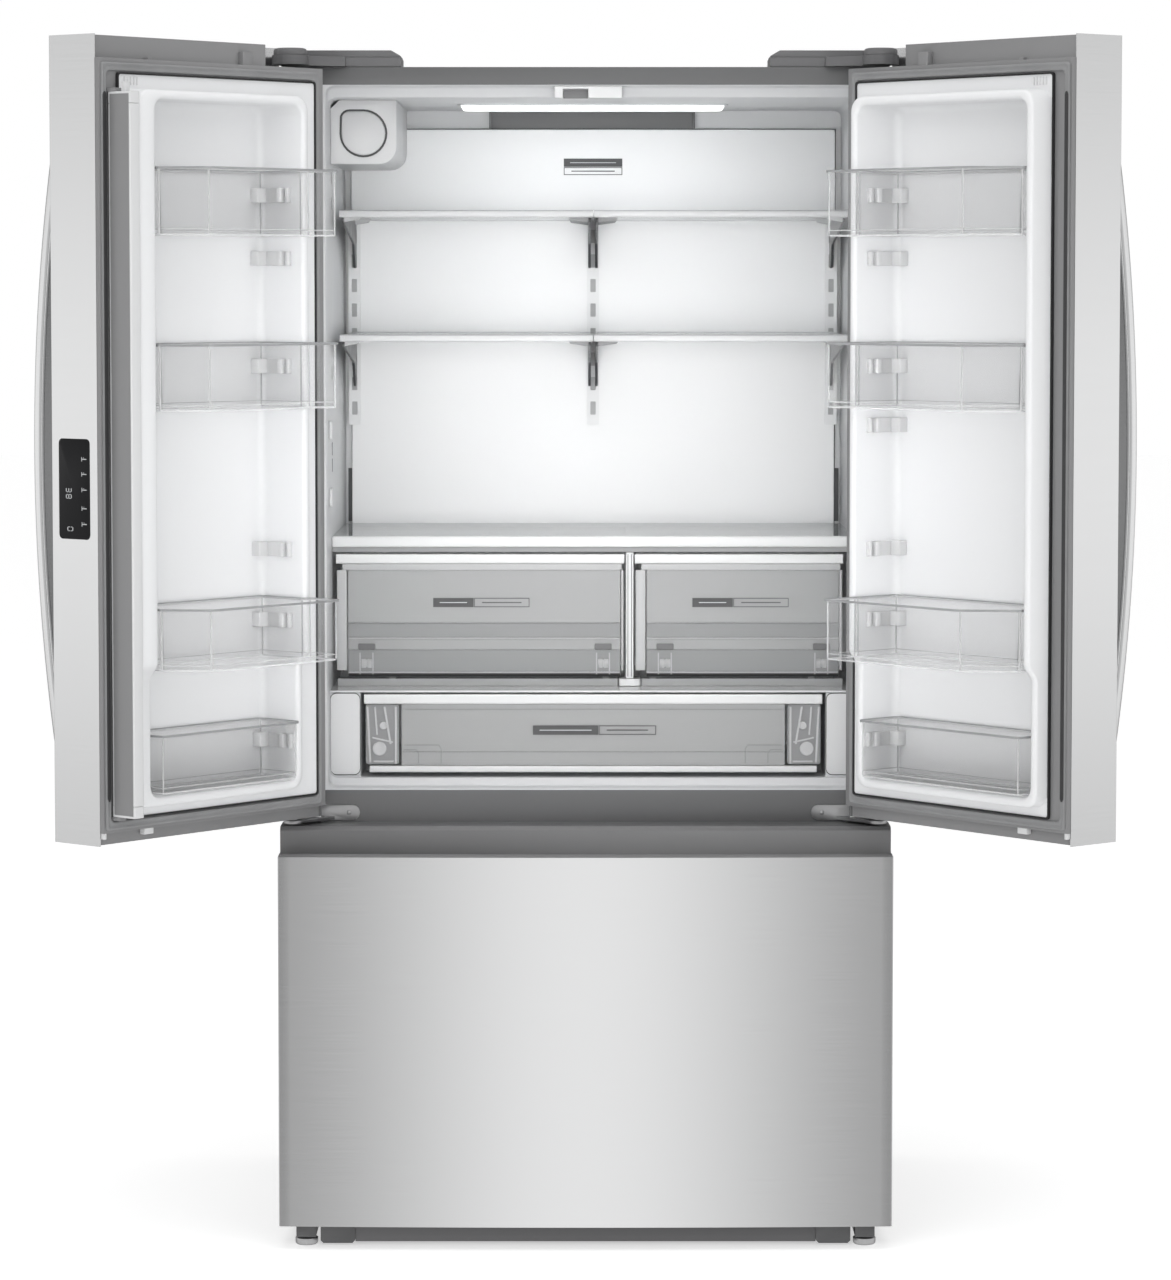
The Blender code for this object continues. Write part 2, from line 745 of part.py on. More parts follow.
def door_liner(side):
    """Moulded lining: a flange, a raised rim all round and a deep pocket inside the rim."""
    skin = 0.002
    flange = rounded(0.0215, 0.4156, 0.677, 1.715, 0.004)
    rim = rounded(DIKE_START[side], DIKE_END, DIKE_LOW, DIKE_HIGH, 0.022)
    floor = pocket_outline(side, 0)
    under = pocket_outline(side, skin)
    levels = [
        (floor, -POCKET_DEPTH),
        (floor, DIKE_HEIGHT),
        (rim, DIKE_HEIGHT),
        (rim, GAP + skin),
        (flange, GAP + skin),
        (flange, GAP),
        (under, GAP),
        (under, -POCKET_DEPTH - skin),
    ]
    rings = [at_y(door_face(side, outline), DOOR_INNER + v) for outline, v in levels]
    return loft(SIDES[side] + "_door_liner", rings, white_plastic())


def door_gasket(side):
    outer = rect(0.0105, 0.447, 0.661, 1.731)
    inner = rect(0.0205, 0.439, 0.673, 1.719)
    near, far = DOOR_INNER + GAP, DOOR_INNER + 0.0045
    rings = [
        at_y(door_face(side, outer), near),
        at_y(door_face(side, outer), far),
        at_y(door_face(side, inner), far),
        at_y(door_face(side, inner), near),
    ]
    return loft(SIDES[side] + "_door_gasket", rings, soft_seal(), joined=True)


def door_bin(side, number):
    """Clear bin in the lining's pocket; the upper three bulge past the rim and slant to the free edge."""
    low, high = BIN_HEIGHTS[number - 1]
    start = DIKE_START[side] + RIM + 0.002
    end = DIKE_END - RIM - 0.002
    back = -POCKET_DEPTH + 0.002
    proud = BIN_START[side]
    if number < 4:
        plan = [
            (start, back),
            (end, back),
            (end, 0.037),
            (end + 0.004, 0.043),
            (0.338, 0.104),
            (proud, 0.104),
            (proud, 0.044),
            (start, 0.037),
        ]
    else:
        clear = 0.005  # keeps the square corners inside the pocket's round ones
        plan = rect(start + clear, end - clear, back, 0.040)
    outline = door_plan(side, plan)
    return tray(f"{SIDES[side]}_door_bin_{number}", outline, low, high, 0.0025, clear_plastic())


def door_handle(side):
    """Bowed bar along the free edge, standing off the door on a post at each end."""
    low, high = 0.741, 1.626
    post = 0.030
    middle, reach = 1.184, 0.417
    near, thick = 0.393, 0.020
    wide = 0.027
    root = -0.1003
    heights = [low, low + post, low + post + 0.002]
    heights += spread(low + 0.06, high - 0.06, 15)
    heights += [high - post - 0.002, high - post, high]
    rings = []
    for z in heights:
        proud = 0.0725 - 0.0385 * ((z - middle) / reach) ** 2
        outer = -0.100 - proud
        on_post = z <= low + post or z >= high - post
        inner = root if on_post else outer + thick
        plan = door_plan(side, rect(near, near + wide, outer, inner))
        rings.append(at_z(plan, z))
    return loft(SIDES[side] + "_door_handle", rings, stainless(), smooth=True)


def panel_block(name, side, grow, u):
    outline = rounded(
        DOOR_INNER + PANEL_V[0] - grow,
        DOOR_INNER + PANEL_V[1] + grow,
        PANEL_Z[0] - grow,
        PANEL_Z[1] + grow,
        0.006,
    )
    rings = [at_x(outline, side * (FRONT_HALF - distance)) for distance in u]
    return loft(name, rings, black_glass())


def flip_mullion(side):
    """Bar that lies folded along the free edge and turns out to close the gap between the doors."""
    body = rounded(0.4165, 0.4375, 0.003, 0.047, 0.003)
    plan = door_plan(side, body)
    mullion = loft("flip_mullion", [at_z(plan, 0.6803), at_z(plan, 1.6897)], white_plastic())
    nub = door_plan(side, rect(0.4225, 0.4315, 0.026, 0.034))
    fuse(mullion, loft("mullion_nub", [at_z(nub, 1.680), at_z(nub, 1.703)], white_plastic()))
    centre = door_point(side, MULLION_U, MULLION_V)
    for end, span in (("low", (0.670, 0.692)), ("high", (1.678, 1.699))):
        hole = [(span[0], 0.0032), (span[1], 0.0032)]
        cut(mullion, turned(f"mullion_{end}_hole", hole, centre, "z", white_plastic(), 12))
    return mullion


def mullion_brackets(frame, side):
    """Ears on the door frame, above and below the mullion, each with a short pin."""
    centre = door_point(side, MULLION_U, MULLION_V)
    for end, plate, pin in (
        ("low", (0.675, 0.680), (0.677, 0.688)),
        ("high", (1.690, 1.695), (1.682, 1.693)),
    ):
        plan = door_plan(side, rect(0.424, 0.4365, -0.010, 0.018))
        name = f"mullion_{end}"
        fuse(frame, loft(name + "_ear", [at_z(plan, z) for z in plate], grey_plastic()))
        fuse(frame, turned(name + "_pin", [(z, 0.0025) for z in pin], centre, "z", zinc(), 12))


def door(side, cabinet):
    """A whole door on its hinge empty, modelled closed and swung open."""
    x, y = hinge_axis(side)
    swing = pivot(SIDES[side] + "_door_axis", (x, y, 0), cabinet, side * DOOR_ANGLE)
    shell = door_shell(side)
    frame = door_frame(side)
    pieces = [shell, frame, door_liner(side), door_gasket(side), door_handle(side)]
    pieces += [door_bin(side, number) for number in range(1, 5)]
    if side < 0:
        cut(shell, panel_block("panel_opening", side, GAP, (0.430, 0.460)))
        cut(frame, panel_block("panel_pocket", side, GAP, (0.4395, 0.460)))
        mullion_brackets(frame, side)
        pieces.append(panel_block("control_panel", side, 0, (0.440, DOOR_WIDTH + 0.0002)))
        fold = pivot("mullion_axis", (*door_point(side, MULLION_U, MULLION_V), 0), swing)
        attach(flip_mullion(side), fold)
    for piece in pieces:
        attach(piece, swing)


# ---------- freezer drawer ----------
def freezer_front_shell():
    sides = 0.083
    skin = SHEET
    outer = [(x, front_y(x)) for x in spread(-FRONT_HALF, FRONT_HALF, 13)]
    inside = FRONT_HALF - skin
    inner = [(x, front_y(x) + skin) for x in spread(-inside, inside, 13)]
    path = [(-FRONT_HALF, sides)] + outer + [(FRONT_HALF, sides), (inside, sides)]
    path += inner[::-1] + [(-inside, sides)]
    return loft("freezer_front_shell", [at_z(path, DRAWER_LOW), at_z(path, DRAWER_HIGH)], stainless())


def freezer_front_core():
    """Foam core and inner panel under a grey top cap whose pocket is the pull."""
    edge = SHEET + GAP
    half = FRONT_HALF - edge
    rings = []
    for x in spread(-half, half, 13):
        front = front_y(x)
        profile = [
            (front + edge, DRAWER_LOW + edge),
            (DOOR_INNER, DRAWER_LOW + edge),
            (DOOR_INNER, GRIP_HIGH),
            (GRIP_SETBACK + 0.006, GRIP_HIGH),
            (GRIP_SETBACK, GRIP_HIGH - 0.006),
            (GRIP_SETBACK, GRIP_FLOOR + 0.007),
            (GRIP_SETBACK - 0.008, GRIP_FLOOR),
            (front + 0.009, GRIP_FLOOR),
            (front + 0.007, 0.586),
            (front + 0.0045, 0.589),
            (front + edge, 0.586),
        ]
        rings.append(at_x(profile, x))
    return loft("freezer_front_core", rings, grey_plastic())


def freezer_gasket():
    outer = rect(-0.442, 0.442, 0.046, 0.6235)
    inner = rect(-0.428, 0.428, 0.058, 0.6130)
    near, far = DOOR_INNER + GAP, CABINET_FRONT - GAP
    rings = [at_y(outer, near), at_y(outer, far), at_y(inner, far), at_y(inner, near)]
    return loft("freezer_gasket", rings, soft_seal(), joined=True)


def freezer_basket():
    """Deep basket hung behind the front, with the slides' inner members along its sides."""
    outline = rect(-BASKET_HALF, BASKET_HALF, DOOR_INNER + GAP, BASKET_BACK)
    basket = tray("freezer_basket", outline, 0.085, 0.400, 0.004, clear_plastic())
    for side in SIDES:
        x = sorted((side * (BASKET_HALF - 0.002), side * 0.3782))
        bar = box(f"{SIDES[side]}_inner_member", x, (0.0920, BASKET_BACK), (0.310, 0.335), zinc())
        fuse(basket, bar)
    return basket


def slide_members(side):
    """The fixed channel on the compartment wall and the member that runs in it."""
    outline = [
        (0.3997, 0.300),
        (0.3997, 0.345),
        (0.3893, 0.345),
        (0.3893, 0.342),
        (0.3975, 0.342),
        (0.3975, 0.303),
        (0.3893, 0.303),
        (0.3893, 0.300),
    ]
    outline = [(side * x, z) for x, z in outline]
    rings = [at_y(outline, SLIDE_FRONT), at_y(outline, SLIDE_BACK)]
    channel = loft(SIDES[side] + "_slide_channel", rings, zinc())
    x = sorted((side * 0.3786, side * 0.3970))
    middle = box(SIDES[side] + "_slide_middle", x, (SLIDE_FRONT, SLIDE_BACK), (0.306, 0.339), zinc())
    return channel, middle


def freezer_drawer():
    upper = tray("freezer_tray", rect(-0.346, 0.346, 0.110, 0.400), 0.4005, 0.490, 0.003, clear_plastic())
    return [freezer_front_shell(), freezer_front_core(), freezer_gasket(), freezer_basket(), upper]


# ---------- whole object ----------
def build():
    for old in list(bpy.data.objects):
        bpy.data.objects.remove(old, do_unlink=True)
    cabinet = pivot("cabinet_frame", (0, 0, 0))
    cabinet.location.y = -CENTRE_Y
    pieces = [cabinet_shell(), fridge_liner(), freezer_liner(), rear_cover(), freezer_back_panel()]
    pieces += machine_parts() + [toe_grille(), rear_rollers(), led_lens(), filter_housing()]
    pieces += [mullion_striker(), back_panel(), crisper_cover(), pantry_cover()]
    pieces += food_drawers() + freezer_drawer()
    for side in SIDES:
        pieces += [top_hinge(side), lower_hinge(side), *slide_members(side)]
        pieces += [shelf(level, side) for level in SHELF_TOPS]
        foot_axis = pivot(SIDES[side] + "_foot_axis", (side * FOOT_X, FOOT_Y, 0), cabinet)
        attach(leveling_foot(side), foot_axis)
        door(side, cabinet)
    attach(filter_cap(), pivot("filter_axis", FILTER_HINGE, cabinet))
    attach(condenser_fan(), pivot("fan_axis", (0, *FAN_CENTRE), cabinet))
    for piece in pieces:
        attach(piece, cabinet)


build()
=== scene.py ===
"""Looks of the french door refrigerator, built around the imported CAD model.

Metres, +Z up. Pieces are drawn in the cabinet's own plan, where Y runs from the front plane of the closed
doors into the cabinet. Door pieces are drawn closed and then swung open about the hinge, and everything is
moved back by CENTRE_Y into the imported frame.
"""

import json
import math

import bmesh
import bpy
from mathutils import Matrix, Vector

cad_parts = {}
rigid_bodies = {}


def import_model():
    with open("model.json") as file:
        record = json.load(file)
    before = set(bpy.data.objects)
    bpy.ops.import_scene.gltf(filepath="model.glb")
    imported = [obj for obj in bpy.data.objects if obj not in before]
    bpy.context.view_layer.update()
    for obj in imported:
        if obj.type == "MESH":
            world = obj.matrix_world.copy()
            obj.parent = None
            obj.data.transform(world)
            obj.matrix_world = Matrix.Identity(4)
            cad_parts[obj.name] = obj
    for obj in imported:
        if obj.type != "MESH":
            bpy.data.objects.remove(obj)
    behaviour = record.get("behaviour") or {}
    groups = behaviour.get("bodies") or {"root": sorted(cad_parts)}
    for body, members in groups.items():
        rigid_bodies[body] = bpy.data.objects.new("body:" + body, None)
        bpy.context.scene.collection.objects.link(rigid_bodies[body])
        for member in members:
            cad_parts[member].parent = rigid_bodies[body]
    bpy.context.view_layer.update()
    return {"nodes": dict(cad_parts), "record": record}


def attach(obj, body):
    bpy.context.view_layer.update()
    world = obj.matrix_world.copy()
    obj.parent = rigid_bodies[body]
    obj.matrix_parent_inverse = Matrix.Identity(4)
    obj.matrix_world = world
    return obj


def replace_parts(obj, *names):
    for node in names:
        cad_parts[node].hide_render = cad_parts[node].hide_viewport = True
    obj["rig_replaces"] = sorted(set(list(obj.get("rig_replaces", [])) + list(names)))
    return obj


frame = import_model()
NODES = frame["nodes"]
BODY_OF = {node: body for body, nodes in frame["record"]["behaviour"]["bodies"].items() for node in nodes}
SLOT_OF = {part["node"]: part["material_slot"] for part in frame["record"]["subparts"]}

# ---------- the cabinet's plan ----------
CENTRE_Y = 0.1938
FRONT_HALF = 0.4525
DOOR_WIDTH = 0.450
DOOR_INNER = 0.091
DOOR_ANGLE = 130.0
BOW = 0.009
HINGE_U, HINGE_V = 0.021, -0.045
SIDES = {-1: "left", 1: "right"}
TO_FRAME = Matrix.Translation((0, -CENTRE_Y, 0))
# pieces that lie on a neighbour stand off it by this much
CLEAR = 0.0003


def door_place(side):
    """From a closed door's place to where the door stands at rest."""
    hinge = Vector((side * (FRONT_HALF - HINGE_U), DOOR_INNER + HINGE_V, 0))
    turn = Matrix.Rotation(math.radians(side * DOOR_ANGLE), 4, "Z")
    return TO_FRAME @ Matrix.Translation(hinge) @ turn @ Matrix.Translation(-hinge)


# ---------- materials ----------
EVEN = (1, 1, 1)
STEEL_GRAIN = (6.0, 6.0, 2400.0)
RAMP_LOW, RAMP_HIGH = 0.3, 0.7


class Look:
    """A node material with a Principled shader, grown one input at a time."""

    def __init__(self, name, colour, roughness, metallic=0.0):
        self.material = bpy.data.materials.new(name)
        self.material.use_nodes = True
        self.tree = self.material.node_tree
        self.shader = self.tree.nodes["Principled BSDF"]
        self.set("Base Color", (*colour, 1.0))
        self.set("Roughness", roughness)
        self.set("Metallic", metallic)

    def set(self, socket, value):
        self.shader.inputs[socket].default_value = value

    def node(self, kind):
        return self.tree.nodes.new(kind)

    def join(self, source, target):
        self.tree.links.new(source, target)

    def noise(self, stretch, scale, detail=4.0):
        """Noise over the piece's own coordinates, stretched along each axis."""
        place = self.node("ShaderNodeTexCoord")
        mapping = self.node("ShaderNodeMapping")
        mapping.inputs["Scale"].default_value = stretch
        texture = self.node("ShaderNodeTexNoise")
        texture.inputs["Scale"].default_value = scale
        texture.inputs["Detail"].default_value = detail
        self.join(place.outputs["Object"], mapping.inputs["Vector"])
        self.join(mapping.outputs["Vector"], texture.inputs["Vector"])
        return texture.outputs["Fac"]

    def spread(self, source, low, high):
        """A texture's value spread between two numbers."""
        reach = self.node("ShaderNodeMapRange")
        reach.inputs["From Min"].default_value = RAMP_LOW
        reach.inputs["From Max"].default_value = RAMP_HIGH
        reach.inputs["To Min"].default_value = low
        reach.inputs["To Max"].default_value = high
        self.join(source, reach.inputs["Value"])
        return reach.outputs["Result"]

    def vary_colour(self, source, dark, light):
        ramp = self.node("ShaderNodeValToRGB")
        stops = ((RAMP_LOW, dark), (RAMP_HIGH, light))
        for element, (position, colour) in zip(ramp.color_ramp.elements, stops):
            element.position = position
            element.color = (*colour, 1.0)
        self.join(source, ramp.inputs["Fac"])
        self.join(ramp.outputs["Color"], self.shader.inputs["Base Color"])

    def vary_roughness(self, source, low, high):
        self.join(self.spread(source, low, high), self.shader.inputs["Roughness"])

    def bump(self, source, strength, distance=0.001):
        bump = self.node("ShaderNodeBump")
        bump.inputs["Strength"].default_value = strength
        bump.inputs["Distance"].default_value = distance
        self.join(source, bump.inputs["Height"])
        self.join(bump.outputs["Normal"], self.shader.inputs["Normal"])

    def see_through(self, face_on, edge_on, blend):
        """Clear where seen face on, and more solid where seen along its surface."""
        weight = self.node("ShaderNodeLayerWeight")
        weight.inputs["Blend"].default_value = blend
        reach = self.node("ShaderNodeMapRange")
        reach.inputs["To Min"].default_value = face_on
        reach.inputs["To Max"].default_value = edge_on
        self.join(weight.outputs["Facing"], reach.inputs["Value"])
        self.join(reach.outputs["Result"], self.shader.inputs["Alpha"])


def shade(colour, factor):
    return tuple(min(c * factor, 1.0) for c in colour)


def brushed(name, colour, rough):
    """Steel with fine horizontal grain that blurs reflections up and down."""
    look = Look(name, colour, rough, 1.0)
    look.set("Anisotropic", 0.6)
    look.set("Anisotropic Rotation", 0.25)
    lines = look.noise(STEEL_GRAIN, 1.6, 5.0)
    look.vary_roughness(lines, rough * 0.82, rough * 1.2)
    look.vary_colour(lines, shade(colour, 0.955), shade(colour, 1.03))
    look.bump(lines, 0.012, 0.0003)
    return look.material


def moulded(name, colour, rough, grain=900.0, depth=0.05, coat=0.0, variety=0.02, shine=0.5):
    """Moulded plastic: a fine even grain and slow variation in sheen, and in colour unless it is white."""
    look = Look(name, colour, rough)
    look.set("Coat Weight", coat)
    look.set("Coat Roughness", 0.12)
    look.set("Specular IOR Level", shine)
    slow = look.noise(EVEN, 9.0, 3.0)
    look.vary_roughness(slow, rough * 0.88, rough * 1.12)
    if variety:
        look.vary_colour(slow, shade(colour, 1.0 - variety), shade(colour, 1.0 + variety))
    look.bump(look.noise(EVEN, grain, 2.0), depth, 0.0004)
    return look.material


def white(name, colour, rough, grain, depth=0.02):
    """White mouldings: one even colour under a soft coat."""
    return moulded(name, colour, rough, grain, depth, coat=0.3, variety=0.0)


def painted(name, colour, rough):
    """Baked paint on sheet steel with a slight orange peel."""
    look = Look(name, colour, rough)
    look.set("Coat Weight", 0.35)
    look.set("Coat Roughness", 0.2)
    slow = look.noise(EVEN, 5.0, 3.0)
    look.vary_colour(slow, shade(colour, 0.97), shade(colour, 1.025))
    look.vary_roughness(slow, rough * 0.9, rough * 1.12)
    look.bump(look.noise(EVEN, 260.0, 2.0), 0.08, 0.0005)
    return look.material


def clear(name, colour, face_on, edge_on, rough=0.06, blend=0.1):
    """Clear plastic or glass, its edges more solid than its faces."""
    look = Look(name, colour, rough)
    look.set("IOR", 1.49)
    look.set("Coat Weight", 0.5)
    look.set("Coat Roughness", 0.03)
    slow = look.noise(EVEN, 14.0, 2.0)
    look.vary_roughness(slow, rough * 0.8, rough * 1.5)
    look.bump(slow, 0.02, 0.001)
    look.see_through(face_on, edge_on, blend)
    return look.material


def cast_metal(name, colour, rough, grain=500.0):
    """Plated or bare metal with fine mottling."""
    look = Look(name, colour, rough, 1.0)
    mottle = look.noise(EVEN, 60.0, 5.0)
    look.vary_roughness(mottle, rough * 0.8, rough * 1.35)
    look.vary_colour(mottle, shade(colour, 0.93), shade(colour, 1.04))
    look.bump(look.noise(EVEN, grain, 2.0), 0.06, 0.0004)
    return look.material


def rubber(name, colour):
    look = Look(name, colour, 0.72)
    fine = look.noise(EVEN, 700.0, 3.0)
    look.vary_roughness(fine, 0.62, 0.82)
    look.vary_colour(look.noise(EVEN, 20.0, 3.0), shade(colour, 0.94), shade(colour, 1.05))
    look.bump(fine, 0.1, 0.0004)
    return look.material


def glowing(name, colour, strength):
    """A lit diffuser, slightly uneven along its length."""
    look = Look(name, colour, 0.35)
    look.set("Emission Color", (*colour, 1.0))
    look.set("Emission Strength", strength)
    uneven = look.noise(EVEN, 30.0, 2.0)
    look.vary_roughness(uneven, 0.3, 0.42)
    return look.material


def make_looks():
    return {
        "stainless": brushed("brushed_steel", (0.66, 0.662, 0.665), 0.18),
        "liner_white": white("liner_plastic", (0.75, 0.756, 0.765), 0.34, 500.0, 0.03),
        "trim_white": white("trim_plastic", (0.62, 0.624, 0.628), 0.33, 700.0),
        "panel_white": white("duct_plastic", (0.80, 0.804, 0.808), 0.34, 700.0),
        # the white liner plastic made darker: painted shade on the fresh food compartment's walls and
        # ceiling
        "liner_painted_shade": white("liner_plastic_painted_shade", (0.60, 0.606, 0.616), 0.34, 500.0, 0.03),
        "door_frame_grey": moulded("frame_plastic", (0.215, 0.215, 0.218), 0.42, 1100.0, 0.06),
        "dark_grey": moulded("cover_plastic", (0.135, 0.135, 0.138), 0.45, 1100.0, 0.08),
        "seal_grey": rubber("seal_rubber", (0.235, 0.237, 0.24)),
        "painted_cabinet": painted("cabinet_paint", (0.10, 0.101, 0.103), 0.4),
        "clear_plastic": clear("bin_plastic", (0.86, 0.87, 0.88), 0.006, 0.5, 0.06, 0.06),
        "shelf_glass": clear("shelf_glass", (0.80, 0.84, 0.84), 0.16, 0.7, 0.03),
        "smoked": clear("drawer_plastic", (0.45, 0.454, 0.458), 0.62, 0.92, 0.1),
        "smoked_pale": clear("pantry_plastic", (0.46, 0.464, 0.467), 0.58, 0.9, 0.1),
        "drawer_clear": clear("tray_plastic", (0.7, 0.71, 0.72), 0.06, 0.7, 0.08),
        "drawer_pale": clear("strip_plastic", (0.72, 0.725, 0.73), 0.5, 0.9, 0.12),
        "cover_glass": clear("cover_glass", (0.74, 0.76, 0.765), 0.5, 0.85, 0.04),
        "cover_plastic": clear("cover_plastic", (0.80, 0.805, 0.81), 0.75, 0.95, 0.12),
        # a brighter, more solid copy of the clear plastic: painted highlights on the bins, crisper fronts
        # and pantry pods; the crisper wheels use it too
        "bin_edge": clear("clear_and_painted_highlight", (0.86, 0.865, 0.87), 0.4, 0.95, 0.05),
        "shelf_trim": clear("shelf_trim_plastic", (0.74, 0.745, 0.75), 0.55, 0.95, 0.12),
        # near-black print on the badges, also painted shadow in the duct panel's seams and round the
        # filter cap
        "print_and_shadow_black": moulded("print_and_painted_shadow", (0.075, 0.076, 0.078), 0.45),
        "core_grey": moulded("grip_plastic", (0.15, 0.15, 0.152), 0.4, 1100.0, 0.06),
        "cover_grey": moulded("hinge_cover_plastic", (0.12, 0.12, 0.123), 0.42, 1100.0, 0.08),
        "track_metal": moulded("track_plastic", (0.74, 0.745, 0.75), 0.35, variety=0.005),
        "arm_metal": cast_metal("arm_metal", (0.2, 0.2, 0.205), 0.35),
        "bright_zinc": cast_metal("hinge_metal", (0.5, 0.5, 0.505), 0.36),
        "track_painted_shade": moulded("track_painted_shade", (0.46, 0.465, 0.47), 0.5),
        # grey for the middle shelf wings and shelf lines, also the painted shadow under the crisper
        # cover's trim
        "grey_wing_and_shade": moulded("wing_plastic_and_painted_shade", (0.26, 0.262, 0.265), 0.4),
        # darker smoky plastic, also used round the bin lips as painted shade
        "smoked_dark": clear("drawer_band", (0.34, 0.345, 0.35), 0.66, 0.92, 0.1),
        # near-black painted shadow, put in the gaps round the door flanges, under the crisper fronts and
        # round the pantry's face plates
        "gap_dark": rubber("painted_shadow_rubber", (0.02, 0.02, 0.021)),
        "zinc": cast_metal("plated_steel", (0.66, 0.66, 0.665), 0.36),
        "black_rubber": rubber("edge_rubber", (0.035, 0.035, 0.036)),
        "pale_marks": moulded("printed_marks", (0.5, 0.51, 0.52), 0.5),
        "panel_black": moulded("panel_glass", (0.010, 0.010, 0.011), 0.24, 900.0, 0.01, shine=0.12),
        "lamp_white": glowing("lamp_diffuser", (0.97, 0.985, 1.0), 1.6),
        "compressor_black": painted("compressor_paint", (0.016, 0.016, 0.017), 0.4),
        "coil_metal": cast_metal("coil_copper", (0.5, 0.29, 0.2), 0.4),
    }


LOOKS = make_looks()


# ---------- outlines ----------
def rect(a0, a1, b0, b1):
    return [(a0, b0), (a1, b0), (a1, b1), (a0, b1)]


def arc(centre, radius, start, end, steps):
    """Points on a circle from one angle to another, in degrees."""
    turn = [math.radians(start + (end - start) * i / steps) for i in range(steps + 1)]
    return [(centre[0] + radius * math.cos(t), centre[1] + radius * math.sin(t)) for t in turn]


def rounded(a0, a1, b0, b1, radius, steps=6):
    """A rectangle whose four corners are arcs."""
    corners = [(a0, b0, 180), (a1, b0, 270), (a1, b1, 0), (a0, b1, 90)]
    points = []
    for a, b, start in corners:
        centre = (a + (radius if a == a0 else -radius), b + (radius if b == b0 else -radius))
        points += arc(centre, radius, start, start + 90, steps)
    return points


def softened(corners, radius, steps=4):
    """An outline with each corner turned into an arc of about the radius given."""
    points = []
    count = len(corners)
    for i, corner in enumerate(corners):
        here = Vector(corner)
        before = Vector(corners[i - 1]) - here
        after = Vector(corners[(i + 1) % count]) - here
        reach = min(radius, before.length * 0.49, after.length * 0.49)
        start = here + before.normalized() * reach
        end = here + after.normalized() * reach
        for k in range(steps + 1):
            t = k / steps
            points.append(tuple(start * (1 - t) ** 2 + here * 2 * t * (1 - t) + end * t * t))
    return points


def inset(outline, distance):
    """A counter-clockwise outline moved inwards by the same distance on every side."""
    moved = []
    for i, point in enumerate(outline):
        here = Vector(point)
        before = (here - Vector(outline[i - 1])).normalized()
        after = (Vector(outline[(i + 1) % len(outline)]) - here).normalized()
        normal = Vector((-before.y - after.y, before.x + after.x))
        normal.normalize()
        lean = normal.dot(Vector((-after.y, after.x)))
        moved.append(tuple(here + normal * distance / max(lean, 0.3)))
    return moved


def at_x(outline, x):
    return [(x, a, b) for a, b in outline]


def at_y(outline, y):
    return [(a, y, b) for a, b in outline]


def at_z(outline, z):
    return [(a, b, z) for a, b in outline]


def point_at_y(point, y):
    return (point[0], y, point[1])


def steps_between(start, end, count):
    return [start + (end - start) * i / (count - 1) for i in range(count)]


def front_y(x):
    """The bowed front surface, in front of the plane through its outer edges."""
    return -BOW * (1 - (x / FRONT_HALF) ** 2)


def folded_sheet(start, end, front, backs):
    """A steel sheet in plan: a bowed front with soft folds back along both edges, as a closed outline."""
    skin, fold, settle = 0.0012, 0.0014, 0.0025
    outside_steps, inside_steps = 61, 25
    path = []
    for edge, way, back in ((start, 1, backs[0]), (end, -1, backs[1])):
        corner = front(edge)
        side = [(edge, back), (edge, corner + settle)]
        for turn in (0, 22.5, 45, 67.5, 90):
            reach = math.radians(turn)
            side.append((edge + way * fold * (1 - math.cos(reach)), corner + fold * (1 - math.sin(reach))))
        path += side if way > 0 else side[::-1]
        if way > 0:
            path += [(a, front(a)) for a in steps_between(start + settle, end - settle, outside_steps)]
    path.append((end - skin, backs[1]))
    path += [(a, front(a) + skin) for a in steps_between(end - skin, start + skin, inside_steps)]
    path.append((start + skin, backs[0]))
    return path


def door_plan(side, outline):
    """An outline in (u, v), from the hinge edge and inwards, turned into plan."""
    points = [(side * (FRONT_HALF - u), DOOR_INNER + v) for u, v in outline]
    return points if side < 0 else points[::-1]


def door_face(side, outline):
    """An outline in (u, z) turned into (x, z)."""
    points = [(side * (FRONT_HALF - u), z) for u, z in outline]
    return points if side < 0 else points[::-1]


def door_point(side, u, v, z):
    return (side * (FRONT_HALF - u), DOOR_INNER + v, z)


def door_rings(side, outline, profile):
    """A door's outline in (u, v), moved inwards by each distance and set at each height."""
    return [at_z(door_plan(side, inset(outline, distance)), z) for distance, z in profile]


def band(outer, inner, low, high):
    """The four corners of a flat ring's section, for a joined loft."""
    return [(outer, low), (outer, high), (inner, high), (inner, low)]


# ---------- meshes ----------
SAME_PLACE = 0.00001
SAME_PLANE = math.radians(0.1)


